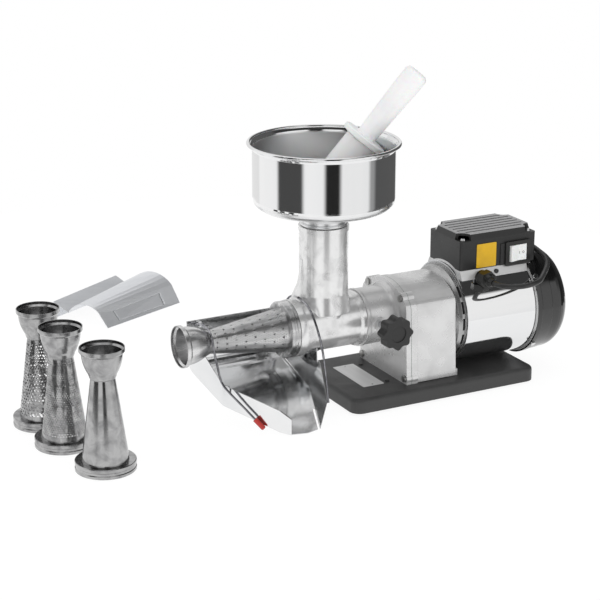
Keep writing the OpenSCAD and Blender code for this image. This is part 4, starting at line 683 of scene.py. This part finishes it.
@dataclass
class MainsLead:
    """The lead from the gland to its plug, with its surplus coiled behind the motor."""

    layout: Layout
    diameter: float = 8.0
    length: float = 1.85
    coil_centre: tuple[float, float] = (262.0, 172.0)
    coil_radius: float = 48.2
    turn_gap: float = 7.95
    layer_rise: float = 8.1
    lowest: float = 4.4
    # Turns in each layer of the coil: inwards on the floor, outwards on top of them, inwards again
    layers: tuple[float, ...] = (2.0, 2.0, 1.0)
    climb_turns: float = 0.3
    points_each_turn: int = 26
    plug_gap: float = 40.0
    plug_height: float = 18.0
    # Bends from the gland round the end of the box and down behind the motor
    route: tuple[tuple[float, float, float], ...] = (
        (240, -83, 165), (240, -87, 165), (241.2, -96.3, 165.1), (244.8, -105, 165.5),
        (250.5, -112.5, 166.1), (258, -118.2, 166.9), (266.7, -121.8, 167.6), (276, -123, 168.4),
        (285.3, -121.8, 169), (294, -118.2, 169.4), (301.5, -112.5, 169.5), (313.7, -100.3, 169.8),
        (325.9, -88.1, 171), (338.5, -75.5, 173.6), (345.8, -66, 177), (350.4, -54.9, 180.8),
        (352, -43, 184.2), (352, -31, 187), (352, -17, 189.3), (352, 4, 190), (352, 24, 188),
        (352, 42, 182.5), (352, 58, 173), (352, 70, 161), (352, 79, 146), (352, 86, 127),
        (352, 91, 108), (351, 94, 88), (349, 97, 69), (344.5, 100.5, 50), (337, 105, 34),
        (326, 110, 21.5), (312, 115, 12.5), (297, 119.4, 7), (280, 122.6, 4.6))

    def coil(self) -> list[tuple[float, float, float]]:
        """Winds the surplus in layers, from the outside in and out again."""
        points = []
        for step in range(round(sum(self.layers) * self.points_each_turn) + 1):
            done = step / self.points_each_turn
            radius, rise, start = self.coil_radius, 0.0, 0.0
            for layer, turns in enumerate(self.layers):
                inward = 1.0 if layer % 2 == 0 else -1.0
                radius -= inward * self.turn_gap * min(max(done - start, 0.0), turns)
                start += turns
                climb = min(max((done - start) / self.climb_turns + 0.5, 0.0), 1.0)
                if layer < len(self.layers) - 1:
                    rise += self.layer_rise * (1 - math.cos(math.pi * climb)) / 2
            angle = math.radians(-90 - 360 * done)
            points.append((self.coil_centre[0] + radius * math.cos(angle),
                self.coil_centre[1] + radius * math.sin(angle), self.lowest + rise))
        return points

    def to_plug(self, last: tuple[float, float, float]) -> list[tuple[float, float, float]]:
        """Leads the end of the coil up into the plug."""
        points = []
        for step in range(1, 7):
            share = step / 6
            rise = (1 - math.cos(math.pi * share)) / 2
            points.append((last[0] - self.plug_gap * share, last[1],
                last[2] + (self.plug_height - last[2]) * rise))
        return points

    def build(self) -> None:
        points = list(self.route) + self.coil()
        points += self.to_plug(points[-1])
        curve = bpy.data.curves.new("mains_lead", "CURVE")
        curve.dimensions = "3D"
        curve.bevel_depth = self.diameter / 2 * MM
        curve.bevel_resolution = 5
        curve.resolution_u = 4
        curve.use_fill_caps = True
        spline = curve.splines.new("BEZIER")
        spline.bezier_points.add(len(points) - 1)
        for knot, point in zip(spline.bezier_points, points):
            knot.co = self.layout.at(*point)
            knot.handle_left_type = "AUTO"
            knot.handle_right_type = "AUTO"
        lead = bpy.data.objects.new("mains_lead", curve)
        bpy.context.scene.collection.objects.link(lead)
        curve.materials.append(LEAD_RUBBER.material())
        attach(lead, "housing")
        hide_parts("power_cord", "cord_coil")
        self.layout.at(*points[0])
        dress({"mains_plug": MOULDED, "cable_gland": FRAME_PLASTIC})
        log.info("mains_lead: %d points", len(points))


@dataclass
class Base:
    """The painted base with its pale plate."""

    layout: Layout
    plate_middle: tuple[float, float, float] = (59.5, 0.0, 24.6)
    plate_width: float = 35.0
    plate_length: float = 94.0
    plate_thick: float = 0.5
    plate_corner: float = 2.0
    rivet_radius: float = 1.6

    def build(self) -> None:
        """Dresses the base and adds the plate and its rivets."""
        dress({"base_plate": BASE_PAINT, "rubber_feet": RUBBER, "plate_screws": MOULDED,
            "case_bolts": ZINC})
        outline = [(x * MM, y * MM) for x, y in
            rounded_outline(self.plate_width, self.plate_length, self.plate_corner)]
        lying = Matrix.Translation(self.layout.at(*self.plate_middle))
        form = plate_form(outline, self.plate_thick * MM, 0.15 * MM, lying)
        mesh_piece("base_plate_label", form, PALE_PLATE, "housing")
        for side in (-1, 1):
            end = (self.plate_middle[0], side * (self.plate_length / 2 - 5), self.plate_middle[2])
            self.add_rivet(f"label_rivet_{'back' if side > 0 else 'front'}", self.layout.at(*end))

    def add_rivet(self, name: str, place: Vector) -> None:
        """Adds a low domed rivet.

        Args:
            name: Name of the rivet.
            place: Its middle on the plate's lower face.
        """
        form = bmesh.new()
        bmesh.ops.create_uvsphere(form, u_segments=20, v_segments=10, radius=self.rivet_radius * MM)
        bmesh.ops.scale(form, verts=form.verts, vec=(1.0, 1.0, 0.55))
        bmesh.ops.translate(form, verts=form.verts, vec=place + Vector((0, 0, self.plate_thick * MM)))
        mesh_piece(name, form, CHROME, "housing")


@dataclass
class GearUnit:
    """The gear case, its cover and what runs inside."""

    finishes: dict[str, Finish] = field(default_factory=lambda: {
        "gear_case": CAST, "front_cover": CAST, "case_gasket": PAPER, "cover_screws": ZINC,
        "shaft_bearings": BEARING_STEEL, "shaft_seal": RUBBER, "idler_bushes": BRONZE,
        "idler_shaft": BEARING_STEEL, "idler_wheel": GEAR_STEEL, "output_shaft": BEARING_STEEL,
        "output_wheel": GEAR_STEEL, "auger": TINNED_CASTING, "clamp_stud": BEARING_STEEL,
        "star_knob": MOULDED})

    def build(self) -> None:
        """Dresses the nodes of the gear unit."""
        dress(self.finishes)


@dataclass
class Motor:
    """The motor with its shields, shell and cowl."""

    finishes: dict[str, Finish] = field(default_factory=lambda: {
        "motor_shield": SHADED_SHIELD_CAST, "motor_shell": POLISHED, "stator_core": LAMINATION,
        "windings": COPPER, "rotor_bearings": BEARING_STEEL, "rear_shield": CAST,
        "fan_cowl": COWL_PAINT, "cowl_screws": CHROME, "rotor_core": LAMINATION,
        "rotor_shaft": BEARING_STEEL, "cooling_fan": MOULDED})

    def build(self) -> None:
        """Dresses the nodes of the motor."""
        dress(self.finishes)


@dataclass
class ControlBox:
    """The control box on its pedestal, with the switch and a plain yellow plate."""

    layout: Layout
    box_front: float = -43.7
    lid_top: float = 231.0
    groove_deep: float = 1.5
    plate_middle: tuple[float, float] = (251.2, 196.2)
    plate_width: float = 34.5
    plate_height: float = 36.5
    border: float = 1.2
    plate_thick: float = 0.5
    switch_middle: tuple[float, float] = (305.6, 193.4)
    rocker_tilt: float = 7.0
    rocker_face: float = 5.5
    mark_size: float = 4.0

    def build(self) -> None:
        """Dresses the box and adds the plate and the marks on the rocker."""
        level = self.layout.at(0, 0, self.lid_top - self.groove_deep / 2).z
        # The lid's top above the groove gets a painted sheen: a lighter grey standing in for the light it
        # catches
        lid = TopSheenFinish("lid_plastic", MOULDED.colour, MOULDED.stain, MOULDED.roughness,
            MOULDED.worn_roughness, grain=MOULDED.grain, grain_depth=MOULDED.grain_depth,
            level=level, painted_top_sheen=(150, 150, 151))
        dress({"box_pedestal": PEDESTAL, "control_box": MOULDED, "box_lid": lid, "lid_screws": CHROME,
            "run_capacitor": CAN_ALUMINIUM, "switch_frame": FRAME_PLASTIC,
            "switch_rocker": WHITE_ROCKER, "pedestal_screw": FRAME_PLASTIC})
        self.add_plate()
        self.add_marks()

    def add_plate(self) -> None:
        """Adds the plain yellow plate and its dark border."""
        place = standing(self.layout.at(self.plate_middle[0], self.box_front, self.plate_middle[1]))
        outer = [(x * MM, y * MM) for x, y in
            rounded_outline(self.plate_width + 2 * self.border, self.plate_height + 2 * self.border, 2.0)]
        form = plate_form(outer, self.plate_thick * 0.6 * MM, 0.1 * MM, place)
        mesh_piece("plate_border", form, PLATE_BORDER, "housing")
        inner = [(x * MM, y * MM) for x, y in rounded_outline(self.plate_width, self.plate_height, 1.5)]
        form = plate_form(inner, self.plate_thick * MM, 0.1 * MM, place)
        mesh_piece("yellow_plate", form, YELLOW_PLATE, "housing")

    def add_marks(self) -> None:
        """Adds the plain on and off marks on the flat half of the rocker."""
        tilt = math.radians(self.rocker_tilt)
        face_y = self.box_front + 2 - self.rocker_face * math.cos(tilt)
        rise = self.mark_size
        bar = [(x * MM, y * MM) for x, y in rounded_outline(0.8, rise, 0.3, 2)]
        place = self.layout.at(self.switch_middle[0] + 2.5, face_y, self.switch_middle[1])
        mesh_piece("mark_on", plate_form(bar, 0.12 * MM, 0.0, standing(place)), MARK_INK, "rocker")
        ring, bore = ([(r * math.cos(a) * MM, r * math.sin(a) * MM)
            for a in (math.tau * k / 24 for k in range(24))] for r in (rise / 2, rise / 2 - 0.7))
        place = self.layout.at(self.switch_middle[0] + 9.5, face_y, self.switch_middle[1])
        mesh_piece("mark_off", plate_form(ring, 0.12 * MM, 0.0, standing(place), bore), MARK_INK,
            "rocker")


@dataclass
class PressHead:
    """The press body with the strainer, drip tray and wires."""

    layout: Layout
    screw_height: float = 117.2
    seat: float = -57.3

    def build(self) -> None:
        """Dresses the press head, with fine holes between those of the strainer."""
        centre = self.layout.at(self.seat, 0, self.screw_height)
        strainer = PerforatedFinish("strainer_sheet", TINNED_SHEET.colour, TINNED_SHEET.stain,
            TINNED_SHEET.roughness, TINNED_SHEET.worn_roughness, metallic=1.0, grain=0.0016,
            grain_depth=0.00002, stain_size=0.012, brushed=Along.X, centre=tuple(centre), lying=True,
            pitch=0.0026, holes_round=52.0, first=0.018, last=0.126, fill=0.22)
        dress({"press_body": TINNED_CASTING, "strainer_cone": strainer, "drip_tray": TRAY_STEEL,
            "bail_wire": WIRE_STEEL, "bail_grip": RED_PLASTIC, "hoop_wire": WIRE_STEEL})


@dataclass
class LooseParts:
    """The hopper and pestle, the spare cones and the splash guard."""

    layout: Layout
    fine_at: tuple[float, float] = (-400.3, 10.6)
    coarse_at: tuple[float, float] = (-399.7, 100.0)
    bowl_radius: float = 101.4

    def drilled(self, name: str, place: tuple[float, float], pitch: float, round_it: float,
            fill: float) -> PerforatedFinish:
        """Returns the finish of a standing cone with rows of small holes.

        Args:
            name: Name of the finish.
            place: The cone's axis on the floor, in the part's millimetres.
            pitch: Distance between the rows.
            round_it: Holes in a row.
            fill: Share of the pitch that a hole's radius takes.

        Returns:
            The finish.
        """
        # The drilled cones take the darker spare-sheet colours, which are painted shade
        return PerforatedFinish(name, SHADED_SPARE_SHEET.colour, SHADED_SPARE_SHEET.stain, SHADED_SPARE_SHEET.roughness,
            SHADED_SPARE_SHEET.worn_roughness, metallic=1.0, grain=0.0016, grain_depth=0.00002,
            stain_size=0.012, centre=tuple(self.layout.at(*place, 0)), pitch=pitch,
            holes_round=round_it, first=0.020, last=0.126, fill=fill)

    def build(self) -> None:
        """Dresses the loose parts."""
        bowl = BowlFinish("hopper_steel", POLISHED.colour, POLISHED.stain, 0.06, POLISHED.worn_roughness,
            metallic=1.0, grain=POLISHED.grain, grain_depth=POLISHED.grain_depth, brushed=Along.Z,
            stain_size=POLISHED.stain_size, centre=tuple(self.layout.at(0, 0, 0)),
            inner_radius=self.bowl_radius * MM)
        dress({"feed_hopper": bowl, "pestle": WHITE_PLASTIC, "splash_guard": GUARD_STEEL,
            "spare_cone_plain": SHADED_SPARE_SHEET,
            "spare_cone_fine": self.drilled("fine_sheet", self.fine_at, 0.0030, 48.0, 0.24),
            "spare_cone_coarse": self.drilled("coarse_sheet", self.coarse_at, 0.0046, 34.0, 0.30)})


def main() -> None:
    """Builds the studio and every part."""
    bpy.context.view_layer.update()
    layout = Layout()
    studio = Studio(layout)
    studio.add_camera()
    MainsLead(layout).build()
    Base(layout).build()
    GearUnit().build()
    Motor().build()
    ControlBox(layout).build()
    PressHead(layout).build()
    LooseParts(layout).build()
    studio.build()


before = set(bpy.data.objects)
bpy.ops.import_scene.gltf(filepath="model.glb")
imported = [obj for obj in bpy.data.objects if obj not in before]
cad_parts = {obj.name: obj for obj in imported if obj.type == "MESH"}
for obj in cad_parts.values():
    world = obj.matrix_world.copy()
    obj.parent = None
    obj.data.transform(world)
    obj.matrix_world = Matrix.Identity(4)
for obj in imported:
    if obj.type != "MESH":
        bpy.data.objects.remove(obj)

if __name__ == "__main__":
    logging.basicConfig(level=logging.INFO)
    main()
